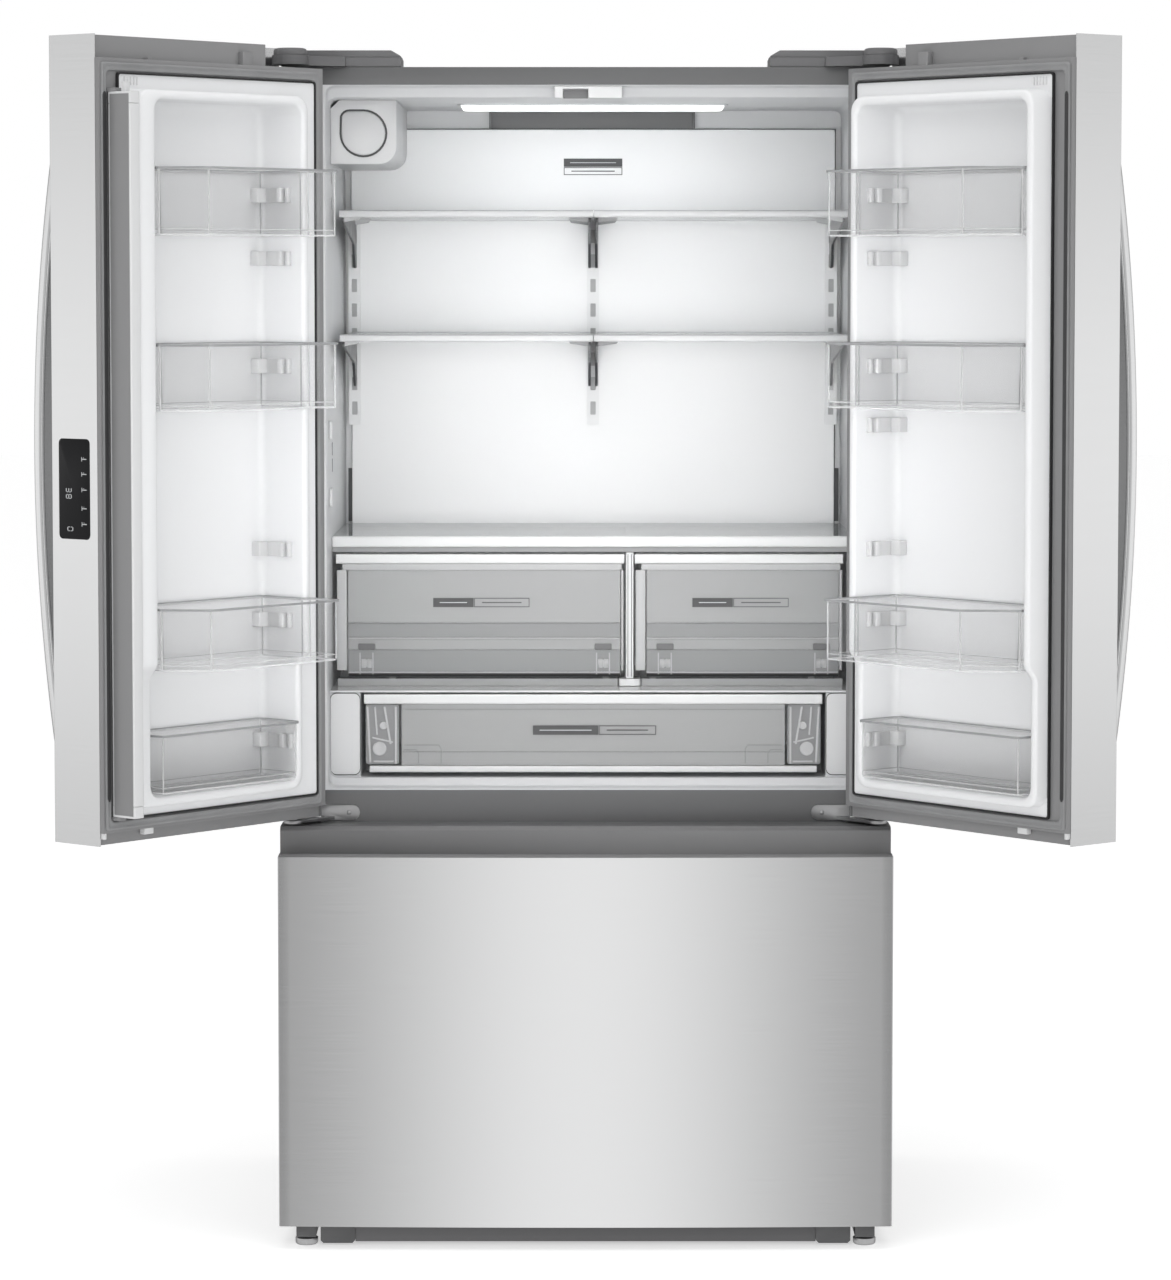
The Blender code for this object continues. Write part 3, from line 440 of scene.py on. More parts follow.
class Shape:
    """Closed solids gathered into one mesh."""

    def __init__(self):
        self.data = bmesh.new()

    def loft(self, rings, joined=False):
        """Rings of equal length bridged in order: capped at both ends, or joined into a closed band."""
        loops = [[self.data.verts.new(point) for point in ring] for ring in rings]
        following = loops[1:] + ([loops[0]] if joined else [])
        for low, high in zip(loops, following):
            for i in range(len(low)):
                j = (i + 1) % len(low)
                self.data.faces.new((low[i], low[j], high[j], high[i]))
        if not joined:
            self.data.faces.new(loops[0])
            self.data.faces.new(loops[-1])
        return self

    def block(self, x, y, z):
        x, y, z = sorted(x), sorted(y), sorted(z)
        return self.slab(at_z, rect(*x, *y), *z)

    def turned(self, profile, centre, axis, sides=32):
        """A profile of (position along the axis, radius) turned round X, Y or Z."""
        rings = []
        for along, radius in profile:
            turns = [math.tau * i / sides for i in range(sides)]
            circle = [(math.cos(t) * radius, math.sin(t) * radius) for t in turns]
            if axis == "x":
                rings.append([(along, centre[0] + a, centre[1] + b) for a, b in circle])
            elif axis == "y":
                rings.append([(centre[0] + a, along, centre[1] + b) for a, b in circle])
            else:
                rings.append([(centre[0] + a, centre[1] + b, along) for a, b in circle])
        return self.loft(rings)

    def slab(self, at, outline, low, high):
        """An outline pushed from one level to another, along the axis that at stands for."""
        return self.loft([at(outline, low), at(outline, high)])

    def plate(self, outline, holes, place, low, high):
        """A flat plate with holes through it. place turns a point and a level into a 3-D point."""
        edges = []
        for loop in [outline] + holes:
            points = [self.data.verts.new(place(point, low)) for point in loop]
            edges += [self.data.edges.new((points[i - 1], points[i])) for i in range(len(points))]
        filled = bmesh.ops.triangle_fill(self.data, use_beauty=True, use_dissolve=False, edges=edges)
        faces = [item for item in filled["geom"] if isinstance(item, bmesh.types.BMFace)]
        pushed = bmesh.ops.extrude_face_region(self.data, geom=faces)
        moved = [item for item in pushed["geom"] if isinstance(item, bmesh.types.BMVert)]
        shift = Vector(place(outline[0], high)) - Vector(place(outline[0], low))
        bmesh.ops.translate(self.data, vec=shift, verts=moved)
        return self

    def done(self, name, look, body, slot, place=TO_FRAME, round_edges=0.0, segments=2, angle=38):
        """One named piece that rides on a body, with its edges rounded."""
        data = self.data
        bmesh.ops.recalc_face_normals(data, faces=data.faces)
        mesh = bpy.data.meshes.new(name)
        data.to_mesh(mesh)
        data.free()
        mesh.transform(place)
        made = bpy.data.objects.new(name, mesh)
        bpy.context.scene.collection.objects.link(made)
        mesh.materials.append(LOOKS[look])
        mesh.shade_smooth()
        if round_edges:
            bevel = made.modifiers.new("rounded_edges", "BEVEL")
            bevel.width = round_edges
            bevel.segments = segments
            bevel.limit_method = "ANGLE"
            bevel.angle_limit = math.radians(angle)
            bevel.harden_normals = True
        else:
            mesh.set_sharp_from_angle(angle=math.radians(angle))
        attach(made, body)
        return made


def refined(node, look=None, width=0.0008, segments=2):
    """A copy of a CAD node with rounded edges, shown in its place."""
    shape = Shape()
    shape.data.from_mesh(NODES[node].data)
    data = shape.data
    bmesh.ops.remove_doubles(data, verts=data.verts, dist=SAME_PLACE)
    bmesh.ops.dissolve_limit(data, angle_limit=SAME_PLANE, verts=data.verts, edges=data.edges)
    slot = SLOT_OF[node]
    name = node + "_piece"
    made = shape.done(name, look or slot, BODY_OF[node], slot, Matrix(), width, segments)
    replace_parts(made, node)
    return made


# ---------- doors ----------
SKIN_LOW, SKIN_HIGH = (0.638, 1.737), (1.737, 1.770)
POCKET_DEPTH = 0.045
DIKE_LOW, DIKE_HIGH = 0.690, 1.694
DIKE_START = {-1: 0.072, 1: 0.046}
POCKET_START = {-1: 0.085, 1: 0.059}
POCKET_END = {-1: 0.380, 1: 0.400}
DIKE_END = 0.413
CREST_HIGH, CREST_LOW = 0.040, 0.024
CREST_STEP = (0.868, 0.894)
BIN_HEIGHTS = [(1.491, 1.587), (1.245, 1.340), (0.881, 0.970), (0.7065, 0.791)]
CORNER_STEPS = 4
BIN_START = {-1: 0.0755, 1: 0.0605}
LUG_HEIGHTS = {-1: (1.552, 1.461, 1.305, 1.039, 0.936, 0.760)}
LUG_HEIGHTS[1] = (1.552, 1.461, 1.305, 1.219, 1.039, 0.936, 0.760)


def door_piece(shape, side, name, look, slot, **edges):
    side_name = SIDES[side]
    return shape.done(f"{side_name}_{name}", look, f"{side_name}_door", slot, door_place(side), **edges)


def door_skin(side):
    """Steel wrapped round the front and both edges, cut back over the hinge."""

    def front(u):
        return front_y(FRONT_HALF - u) - DOOR_INNER

    shape = Shape()
    wrap, hinge_cut = -0.008, -0.0880
    for backs, low, high in (((wrap, wrap), *SKIN_LOW), ((hinge_cut, wrap), *SKIN_HIGH)):
        plan = door_plan(side, folded_sheet(0.0, DOOR_WIDTH, front, backs))
        shape.slab(at_z, plan, low, high)
    made = door_piece(shape, side, "door_skin", "stainless", "stainless", angle=40)
    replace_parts(made, SIDES[side] + "_door_shell")


def crest_depth(z):
    """The raised rim stands lower round the bottom bin."""
    low, high = CREST_STEP
    t = min(max((z - low) / (high - low), 0.0), 1.0)
    return CREST_LOW + (CREST_HIGH - CREST_LOW) * t * t * (3 - 2 * t)


def flat(_):
    return 0.0


def rim_outline(start, end, low, high, radius):
    """A rounded outline in (u, z) with extra points up its sides, where the rim changes height."""
    outline = rounded(start, end, low, high, radius, 7)
    ladder = steps_between(CREST_STEP[0] - 0.004, CREST_STEP[1] + 0.004, 8)
    quarter = len(outline) // 4
    up = [(end, z) for z in ladder]
    down = [(start, z) for z in reversed(ladder)]
    return outline[: 2 * quarter] + up + outline[2 * quarter :] + down


def door_liner(side):
    """Moulded lining: a flange, a raised rim with soft edges and a deep pocket inside it."""
    skin = 0.002
    start, end = POCKET_START[side], POCKET_END[side]
    low, high = DIKE_LOW + 0.013, DIKE_HIGH - 0.013

    def pocket(grow):
        radius = 0.016 + grow
        return rim_outline(start - grow, end + grow, low - grow, high + grow, radius)

    def outside(grow):
        radius = max(0.022 + grow, 0.002)
        ends = (DIKE_START[side] - grow, DIKE_END + grow, DIKE_LOW - grow, DIKE_HIGH + grow)
        return rim_outline(*ends, radius)

    flange = rim_outline(0.0215, 0.4156, 0.677, 1.715, 0.004)
    foot = 0.0023
    bend = 0.012
    levels = [(pocket(-bend), -POCKET_DEPTH, flat)]
    for turn in (20, 45, 70, 90):
        reach = math.radians(turn)
        rise = bend * (1 - math.cos(reach))
        levels.append((pocket(-bend + bend * math.sin(reach)), -POCKET_DEPTH + rise, flat))
    for grow, drop in ((0.0, -0.004), (0.0002, -0.0035), (0.0012, -0.001), (0.004, 0.0)):
        levels.append((pocket(grow), drop, crest_depth))
    for grow, drop in ((-0.004, 0.0), (-0.0012, -0.0012), (-0.0002, -0.004)):
        levels.append((outside(grow), drop, crest_depth))
    for grow, rise in ((0.0, 0.0012), (0.0006, 0.0003), (0.0015, 0.0)):
        levels.append((outside(grow), foot + rise, flat))
    levels += [(flange, foot, flat), (flange, CLEAR, flat)]
    levels += [(pocket(skin), CLEAR, flat), (pocket(skin), -POCKET_DEPTH - skin, flat)]
    rings = []
    for outline, level, crest in levels:
        rings.append([door_point(side, u, level + crest(z), z) for u, z in outline])
    shape = Shape().loft(rings)
    made = door_piece(shape, side, "door_liner_piece", "liner_white", "liner_white", angle=50)
    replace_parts(made, SIDES[side] + "_door_liner")


def bin_lugs(side):
    """Moulded hooks in the pocket's hinge side corner, which the bins hang on."""
    shape = Shape()
    wall = POCKET_START[side]
    half = 0.0105
    for z in LUG_HEIGHTS[side]:
        low, high = z - half, z + half
        blocks = [
            ((wall - 0.0005, wall + 0.022), (-0.0455, -0.029)),
            ((wall - 0.0005, wall + 0.0045), (-0.030, 0.006)),
            ((wall - 0.0005, wall + 0.011), (-0.0035, 0.006)),
            ((wall - 0.0005, wall + 0.0075), (0.010, 0.017)),
        ]
        for u, v in blocks:
            plan = door_plan(side, rounded(*u, *v, 0.002, 3))
            shape.slab(at_z, plan, low, high)
    door_piece(shape, side, "bin_lugs", "trim_white", "liner_white", round_edges=0.001)


def bin_outline(side, number):
    start, end = POCKET_START[side] + 0.002, POCKET_END[side] - 0.002
    back, proud = -POCKET_DEPTH + 0.002, BIN_START[side]
    if number == 4:
        return softened(rect(start + 0.005, end - 0.005, back, 0.040), 0.012, CORNER_STEPS)
    corners = [
        (start, back),
        (end, back),
        (end, 0.038),
        (end + 0.003, 0.043),
        (0.338, 0.104),
        (proud, 0.104),
        (proud, 0.044),
        (start, 0.038),
    ]
    return softened(corners, 0.009, CORNER_STEPS)


def door_bin(side, number):
    """Clear bin: drafted walls, a thick rolled lip, a stepped foot and a shallow rib below the lip."""
    low, high = BIN_HEIGHTS[number - 1]
    outline = bin_outline(side, number)
    wall = 0.0024
    profile = [
        (0.0065, low),
        (0.0042, low + 0.0006),
        (0.0032, low + 0.002),
        (0.0032, low + 0.0085),
        (0.0045, low + 0.0105),
        (0.0028, high - 0.014),
        (0.0016, high - 0.0125),
        (0.0016, high - 0.0055),
        (0.0003, high - 0.0042),
        (0.0, high - 0.0015),
        (0.0008, high - 0.0003),
        (0.0024, high),
        (0.0040, high - 0.0006),
        (0.0042, high - 0.0035),
        (0.0028 + wall, high - 0.012),
        (0.0045 + wall, low + 0.012),
        (0.0052 + wall, low + 0.0045),
        (0.0080 + wall, low + 0.0032),
    ]
    shape = Shape().loft(door_rings(side, outline, profile))
    name = f"door_bin_{number}"
    made = door_piece(shape, side, name + "_piece", "clear_plastic", "clear_plastic", angle=60)
    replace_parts(made, f"{SIDES[side]}_{name}")
    bin_edges(side, number)


def bin_edges(side, number):
    """Painted highlights on a clear bin: bright bands inside its lip and at its foot, and thin posts up
    its upright corners.
    """
    low, high = BIN_HEIGHTS[number - 1]
    outline = bin_outline(side, number)
    shape = Shape()
    bands = [
        (0.0006, 0.0038, high - 0.0032, high - 0.0008),
        (0.0038, 0.0062, low + 0.0012, low + 0.0032),
        (0.0040, 0.0052, low + 0.0092, low + 0.0102),
    ]
    for edges in bands:
        shape.loft(door_rings(side, outline, band(*edges)), joined=True)
    middle = inset(outline, 0.0041)
    for u, v in middle[CORNER_STEPS // 2 :: CORNER_STEPS + 1]:
        post = door_plan(side, rect(u - 0.0008, u + 0.0008, v - 0.0008, v + 0.0008))
        shape.slab(at_z, post, low + 0.0035, high - 0.0035)
    door_piece(shape, side, f"door_bin_{number}_edges", "bin_edge", "clear_plastic", angle=50)
    # a dark band round the top of the lip: painted shade along the rim
    lip = Shape()
    section = band(-0.0001, 0.0007, high - 0.0030, high + 0.0003)
    lip.loft(door_rings(side, outline, section), joined=True)
    door_piece(lip, side, f"door_bin_{number}_lip", "smoked_dark", "clear_plastic", angle=50)


HANDLE_LOW, HANDLE_HIGH = 0.741, 1.626
HANDLE_MIDDLE, HANDLE_REACH = 1.184, 0.417
HANDLE_PROUD, HANDLE_BOW = 0.0725, 0.0385


def handle_proud(z):
    """How far the bar stands off the door, least at its ends."""
    return HANDLE_PROUD - HANDLE_BOW * ((z - HANDLE_MIDDLE) / HANDLE_REACH) ** 2


def door_handle(side):
    """Bowed bar with soft edges, standing off the door on a post at each end."""
    low, high = HANDLE_LOW, HANDLE_HIGH
    near, wide, thick = 0.393, 0.027, 0.020
    heights = [low + 0.0005, low + 0.0015, low + 0.004] + steps_between(low + 0.02, high - 0.02, 27)
    heights += [high - 0.004, high - 0.0015, high - 0.0005]
    shape = Shape()
    rings = []
    for i, z in enumerate(heights):
        end = min(i, len(heights) - 1 - i)
        shrink = (0.0035, 0.0012, 0.0)[end] if end < 3 else 0.0
        outer = -0.100 - handle_proud(z)
        across = (near + shrink, near + wide - shrink)
        section = rounded(*across, outer + shrink, outer + thick - shrink, 0.007 - shrink, 5)
        rings.append(at_z(door_plan(side, section), z))
    shape.loft(rings)
    start, end = near + 0.003, near + wide - 0.003
    for z0, z1 in ((low + 0.003, low + 0.029), (high - 0.029, high - 0.003)):
        post = []
        for v, spare in ((-0.1003, 0.0), (-0.1045, 0.0025), (-0.122, 0.0035)):
            face = rounded(start + spare, end - spare, z0 + spare, z1 - spare, 0.005, 4)
            post.append([door_point(side, u, v, z) for u, z in face])
        shape.loft(post)
    made = door_piece(shape, side, "door_handle_piece", "stainless", "stainless", angle=45)
    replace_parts(made, SIDES[side] + "_door_handle")


def door_gasket(side):
    """Soft seal: a hollow-looking bead with a raised lip on each side of a groove."""
    outer = (0.0105, 0.447, 0.661, 1.731)
    inner = (0.0205, 0.439, 0.673, 1.719)

    def between(t):
        values = [a + (b - a) * t for a, b in zip(outer, inner)]
        return rounded(*values, 0.004 + 0.004 * t, 4)

    profile = [(0, CLEAR), (0, 0.0028), (0.12, 0.0042), (0.25, 0.0045), (0.36, 0.0036)]
    profile += [(0.5, 0.0033), (0.64, 0.0036), (0.75, 0.0045), (0.88, 0.0042), (1, 0.0028), (1, CLEAR)]
    rings = [at_y(door_face(side, between(t)), DOOR_INNER + v) for t, v in profile]
    bead = Shape().loft(rings, joined=True)
    made = door_piece(bead, side, "door_gasket_piece", "seal_grey", "seal_grey", angle=60)
    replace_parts(made, SIDES[side] + "_door_gasket")


def flange_shadow_ring(side):
    """A near-black ring in the gap between the lining's flange and the seal: painted shadow."""
    shape = Shape()
    rings = []
    for grow, v in band(0.0022, 0.0, CLEAR, 0.0047):
        hollow = rounded(0.0214 - grow, 0.4157 + grow, 0.6769 - grow, 1.7151 + grow, 0.004, 4)
        rings.append(at_y(door_face(side, hollow), DOOR_INNER + v))
    shape.loft(rings, joined=True)
    door_piece(shape, side, "flange_shadow_ring", "gap_dark", "seal_grey", angle=50)


def edge_seal(side):
    """Black strip along the seal's free edge, drawn in at both ends."""
    low, high = 0.702, 1.690
    taper, drawn_in = 0.004, 0.35
    section = rounded(0.4405, 0.4468, 0.0040, 0.0056, 0.0007, 3)
    middle = 0.44365
    rings = []
    for z, share in ((low, drawn_in), (low + taper, 1.0), (high - taper, 1.0), (high, drawn_in)):
        outline = [(middle + (u - middle) * share, v) for u, v in section]
        rings.append(at_z(door_plan(side, outline), z))
    door_piece(Shape().loft(rings), side, "edge_seal", "black_rubber", "seal_grey", angle=50)


def door_fittings(side):
    """Small guides on the frame's top and bottom, and the ribs at the top of the lining's flange."""
    nubs = Shape()
    for u, v, z in (
        ((0.352, 0.370), (-0.0115, -0.001), (0.6485, 0.6575)),
        ((0.4435, 0.4485), (-0.0085, -0.001), (0.6485, 0.6580)),
    ):
        nubs.slab(at_z, door_plan(side, rounded(*u, *v, 0.0012, 3)), *z)
    door_piece(nubs, side, "door_guides", "trim_white", "liner_white", round_edges=0.0008)
    cap = Shape()
    for u, v, z in (
        ((0.143, 0.163), (-0.0125, -0.0015), (1.7365, 1.7560)),
        ((0.345, 0.353), (-0.0095, -0.002), (1.7365, 1.7405)),
    ):
        cap.slab(at_z, door_plan(side, rounded(*u, *v, 0.0015, 3)), *z)
    door_piece(cap, side, "cap_guides", "door_frame_grey", "door_frame_grey", round_edges=0.0008)
    ribs = Shape()
    for i in range(5):
        u = 0.378 + i * 0.006
        section = rounded(u, u + 0.0022, 0.0018, 0.0036, 0.0006, 2)
        ribs.slab(at_z, door_plan(side, section), 1.7005, 1.7120)
    door_piece(ribs, side, "flange_ribs", "trim_white", "liner_white", angle=50)


def digit_strokes(lit):
    """Seven-segment strokes of a digit in a unit box, as (a0, a1, b0, b1)."""
    t = 0.13
    strokes = {
        "a": (t, 1 - t, 1 - t, 1),
        "b": (1 - t, 1, 0.5 + t / 2, 1 - t),
        "c": (1 - t, 1, t, 0.5 - t / 2),
        "d": (t, 1 - t, 0, t),
        "e": (0, t, t, 0.5 - t / 2),
        "f": (0, t, 0.5 + t / 2, 1 - t),
        "g": (t, 1 - t, 0.5 - t / 2, 0.5 + t / 2),
    }
    return [strokes[key] for key in lit]


PANEL_FACE = 0.4502
DIGIT_TALL, DIGIT_WIDE = 0.0115, 0.0062
KEY_HEIGHTS = (1.1800, 1.1590, 1.1370, 1.1110, 1.0890)


def control_panel():
    """Gloss black touch panel in the left door's free edge."""
    side = -1
    face_u, back_u = PANEL_FACE, 0.440
    v0, v1, z0, z1 = -0.0864, -0.0223, 1.067, 1.209

    def ring(shrink, u):
        face = rounded(v0 + shrink, v1 - shrink, z0 + shrink, z1 - shrink, 0.007, 6)
        return at_x([(DOOR_INNER + v, z) for v, z in face], side * (FRONT_HALF - u))

    steps = ((0, back_u), (0, face_u - 0.0010), (0.0004, face_u - 0.0003), (0.0011, face_u))
    body = Shape().loft([ring(shrink, u) for shrink, u in steps])
    name, look = "control_panel", "panel_black"
    made = body.done(name + "_piece", look, "left_door", look, door_place(side), angle=60)
    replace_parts(made, name)


def panel_marks():
    """Pale digits and key marks on the touch panel."""
    side = -1
    marks = Shape()
    x = (side * (FRONT_HALF - PANEL_FACE - 0.00003), side * (FRONT_HALF - PANEL_FACE + 0.0002))

    def mark(v, z):
        marks.block(x, (DOOR_INNER + v[0], DOOR_INNER + v[1]), z)

    eight, three, zero = "abcdefg", "abcdg", "abcdef"
    for lit, v, z in ((three, -0.0715, 1.1395), (eight, -0.0715, 1.1305), (zero, -0.0690, 1.0850)):
        for a0, a1, b0, b1 in digit_strokes(lit):
            across = (v + DIGIT_TALL * b0, v + DIGIT_TALL * b1)
            mark(across, (z - DIGIT_WIDE * a0, z - DIGIT_WIDE * a1))
    for z in KEY_HEIGHTS:
        mark((-0.0400, -0.0300), (z - 0.0006, z + 0.0006))
        mark((-0.0400, -0.0388), (z - 0.0030, z + 0.0030))
        mark((-0.0360, -0.0352), (z + 0.0012, z + 0.0028))
    marks.done("panel_marks", "pale_marks", "left_door", "panel_black", door_place(side))


def flip_mullion():
    """White bar with a dark front strip, soft corners and a cap at each end."""
    side = -1

    def bar(u, v, z, name, look, edge):
        shape = Shape()
        for z_span in z:
            shape.slab(at_z, door_plan(side, rounded(*u, *v, edge, 5)), *z_span)
        return shape.done(name, look, "mullion", "liner_white", door_place(side), round_edges=0.0006)

    wide, deep = (0.4165, 0.4366), (0.003, 0.047)
    body = bar(wide, deep, [(0.6970, 1.6730)], "mullion_body", "trim_white", 0.003)
    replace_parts(body, "flip_mullion")
    bar(wide, deep, [(0.6803, 0.6966), (1.6734, 1.6897)], "mullion_caps", "trim_white", 0.003)
    bar((0.4225, 0.4315), (0.026, 0.034), [(1.6890, 1.703)], "mullion_nub_piece", "trim_white", 0.0015)
    bar((0.4362, 0.4371), (0.0078, 0.0450), [(0.6835, 1.6865)], "mullion_strip", "door_frame_grey", 0.0003)


def doors():
    for side in SIDES:
        name = SIDES[side]
        door_skin(side)
        refined(name + "_door_frame", "door_frame_grey", 0.0006)
        door_liner(side)
        bin_lugs(side)
        door_gasket(side)
        flange_shadow_ring(side)
        edge_seal(side)
        door_handle(side)
        door_fittings(side)
        for number in range(1, 5):
            door_bin(side, number)
    control_panel()
    panel_marks()
    flip_mullion()


doors()


# ---------- inside the fresh food compartment ----------
ROOM_CENTRE = 0.012
WALL_LEFT, WALL_RIGHT = -0.384, 0.408
SHELF_FRONT, SHELF_BACK = 0.227, 0.600
SHELF_TOPS = {"upper": 1.535, "lower": 1.348}
TRACK_X = (-0.368, ROOM_CENTRE, 0.391)
DRAWER_FRONT = 0.230
PANTRY_FRONT = 0.158
PANTRY_COVER_X, PANTRY_COVER_Z = (-0.3835, 0.4075), (0.8122, 0.8148)
COVER_BACK = 0.606


def cabinet_piece(shape, name, look, slot, **edges):
    return shape.done(name, look, "cabinet", slot, **edges)


def back_panel():
    """White duct panel, with near-black strips in the seams above it and beside it as painted shadow."""
    panel = Shape().slab(at_y, rounded(-0.373, 0.397, 0.690, 1.669, 0.006, 4), 0.6093, 0.6205)
    made = cabinet_piece(panel, "back_panel_piece", "panel_white", "liner_white", round_edges=0.0015)
    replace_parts(made, "back_panel")
    seams = Shape()
    seams.block((-0.372, 0.3985), (0.6150, 0.6205), (1.6692, 1.6704))
    seams.block((0.3972, 0.3985), (0.6150, 0.6205), (0.700, 1.6690))
    for x in (-0.3795, 0.3988):
        seams.block((x, x + 0.0062), (0.6190, 0.6208), (1.0450, 1.1300))
    cabinet_piece(seams, "panel_seam_shadows", "print_and_shadow_black", "dark_grey")


def shelf_tracks():
    """Slotted channels that carry the shelf arms, each with a grey backing as painted shade seen through
    its slots.
    """
    low, high, half = 1.200, 1.540, 0.0095
    first_slot, slot_height, pitch, flange = 0.016, 0.021, 0.039, 0.0016
    tracks, backs = Shape(), Shape()
    for x in TRACK_X:
        slots = []
        for i in range(8):
            z = low + first_slot + i * pitch
            slots.append(rounded(x - 0.0042, x + 0.0042, z, z + slot_height, 0.001, 2))
        outline = rounded(x - half, x + half, low, high, 0.002, 2)
        tracks.plate(outline, slots, point_at_y, 0.6008, 0.6026)
        for edge in (x - half, x + half - flange):
            tracks.block((edge, edge + flange), (0.6028, 0.6090), (low + 0.001, high - 0.001))
        backs.block((x - 0.0062, x + 0.0062), (0.6078, 0.6091), (low + 0.004, high - 0.004))
    cabinet_piece(tracks, "shelf_tracks", "track_metal", "zinc")
    cabinet_piece(backs, "track_backing", "track_painted_shade", "zinc")


def air_outlet():
    """Dark outlet above the duct panel, with a cheek at each end."""
    x0, x1, z = -0.153, 0.174, (1.6705, 1.6965)
    cheek = 0.0025
    shape = Shape().block((x0, x1), (0.6215, 0.6275), z)
    for x in (x0, x1 - cheek):
        shape.block((x, x + cheek), (0.6015, 0.6213), z)
    cabinet_piece(shape, "air_outlet", "core_grey", "dark_grey", round_edges=0.0003)


def badge(name, body, x, y, z, split, upright=False):
    """A plain two-part badge with no words: one part filled, the other a thin frame with a line in it."""
    thin = 0.0011
    front, back = y - 0.0005, y + 0.0003
    shape = Shape()
    (x0, x1), (z0, z1) = x, z
    if upright:
        middle = z0 + (z1 - z0) * split
        filled, framed = (x0, x1, middle, z1), (x0, x1, z0, middle - 0.0008)
    else:
        middle = x0 + (x1 - x0) * split
        filled, framed = (x0, middle, z0, z1), (middle + 0.0008, x1, z0, z1)
    shape.block(filled[:2], (front, back), filled[2:])
    outer = rect(*framed)
    inner = rect(framed[0] + thin, framed[1] - thin, framed[2] + thin, framed[3] - thin)
    shape.plate(outer, [inner], point_at_y, front, back)
    line = (framed[2] + framed[3]) / 2
    shape.block((framed[0] + 0.012, framed[1] - 0.012), (front, back), (line - 0.0008, line + 0.0008))
    shape.done(name, "print_and_shadow_black", body, "dark_grey")
    stripe = Shape()
    line = (filled[2] + filled[3]) / 2
    across = (filled[0] + 0.010, filled[1] - 0.010)
    stripe.block(across, (front - 0.0002, front - 0.00002), (line - 0.0006, line + 0.0006))
    stripe.done(name + "_line", "pale_marks", body, "liner_white")


def shelf(level, side):
    """Glass half shelf: a rolled front trim and slim side rims round a pane."""
    top = SHELF_TOPS[level]
    x0, x1 = (-0.371, ROOM_CENTRE - 0.0005) if side < 0 else (ROOM_CENTRE + 0.0005, 0.395)
    name = f"{level}_{SIDES[side]}_shelf"
    trim = Shape()
    front = softened(rect(SHELF_FRONT, SHELF_FRONT + 0.0125, top - 0.011, top), 0.003, 4)
    back = softened(rect(SHELF_BACK - 0.0125, SHELF_BACK, top - 0.011, top), 0.002, 3)
    for section in (front, back):
        trim.slab(at_x, section, x0, x1)
    rim = 0.0055
    y, z = (SHELF_FRONT + 0.0127, SHELF_BACK - 0.0127), (top - 0.0085, top - 0.0003)
    for edge in (x0, x1 - rim):
        trim.block((edge, edge + rim), y, z)
    made = cabinet_piece(trim, name + "_trim", "shelf_trim", "shelf_glass", round_edges=0.0006, angle=50)
    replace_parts(made, name)
    y, z = (SHELF_FRONT - CLEAR, SHELF_FRONT + 0.0030), (top - 0.0016, top - 0.0004)
    line = Shape().block((x0 + 0.0010, x1 - 0.0010), y, z)
    cabinet_piece(line, name + "_line", "grey_wing_and_shade", "shelf_glass")
    y, z = (SHELF_FRONT + 0.0129, SHELF_BACK - 0.0129), (top - 0.0052, top - 0.0012)
    pane = Shape().block((x0 + 0.0057, x1 - 0.0057), y, z)
    cabinet_piece(pane, name + "_pane", "shelf_glass", "shelf_glass", round_edges=0.0005)
    shelf_arms(name, top, x0, x1)
    shelf_wings(name, side, top, x0, x1)


def shelf_arms(name, top, x0, x1):
    """The two cantilever arms under a shelf, with a hook behind each."""
    start, foot, thick = SHELF_FRONT + 0.014, top - 0.086, 0.0038
    arm = [
        (start, top - 0.0175),
        (0.540, top - 0.048),
        (0.572, foot),
        (SHELF_BACK - 0.0005, foot),
        (SHELF_BACK - 0.0005, top - 0.0115),
        (start, top - 0.0115),
    ]
    arm = softened(arm, 0.006, 4)
    arms = Shape()
    y, z = (SHELF_BACK - 0.0120, SHELF_BACK - 0.0030), (top - 0.0845, top - 0.0300)
    for x in (x0 + 0.0030, x1 - 0.0070):
        arms.slab(at_x, arm, x, x + thick)
        arms.block((x - 0.0002, x + thick + 0.0002), y, z)
    cabinet_piece(arms, name + "_arms", "arm_metal", "zinc", round_edges=0.0006)


def shelf_wings(name, side, top, x0, x1):
    """Small supports beside the arms: white at the wall, grey and wider at the middle."""
    for start, way in ((x0 + 0.0055, 1), (x1 - 0.0055, -1)):
        outer = way == -side
        place, look, wide = ("outer", "shelf_trim", 0.026) if outer else ("inner", "grey_wing_and_shade", 0.033)
        wing = [(0.0, 0.0), (wide, 0.0), (wide - 0.004, -0.0055), (0.0, -0.0095)]
        points = [(start + way * a, top - 0.0087 + b) for a, b in wing]
        wings = Shape()
        wings.slab(at_y, points, SHELF_BACK - 0.040, SHELF_BACK - 0.014)
        wings.slab(at_y, points, SHELF_FRONT + 0.016, SHELF_FRONT + 0.034)
        cabinet_piece(wings, f"{name}_{place}_wings", look, "shelf_glass", round_edges=0.0006)


def crisper_cover():
    """Glass cover with a deep white front trim and a painted shadow under it."""
    x0, x1 = WALL_LEFT + 0.0008, WALL_RIGHT - 0.0008
    glass = Shape().block((x0, x1), (SHELF_FRONT + 0.0142, COVER_BACK), (1.0372, 1.0428))
    made = cabinet_piece(glass, "crisper_cover_pane", "cover_glass", "shelf_glass", round_edges=0.0006)
    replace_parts(made, "crisper_cover")
    trim = Shape()
    section = softened(rect(SHELF_FRONT, SHELF_FRONT + 0.0140, 1.0265, 1.0430), 0.0025, 4)
    trim.slab(at_x, section, x0, x1)
    trim.block((x0, x1), (0.598, COVER_BACK), (1.0310, 1.0370))
    cabinet_piece(trim, "crisper_cover_trim", "trim_white", "shelf_glass", round_edges=0.0004, angle=50)
    # a grey strip under the front trim: painted shadow
    under = Shape().block((x0, x1), (SHELF_FRONT + 0.0030, SHELF_FRONT + 0.0140), (1.0190, 1.0262))
    cabinet_piece(under, "crisper_cover_under_shadow", "grey_wing_and_shade", "shelf_glass", round_edges=0.0004)


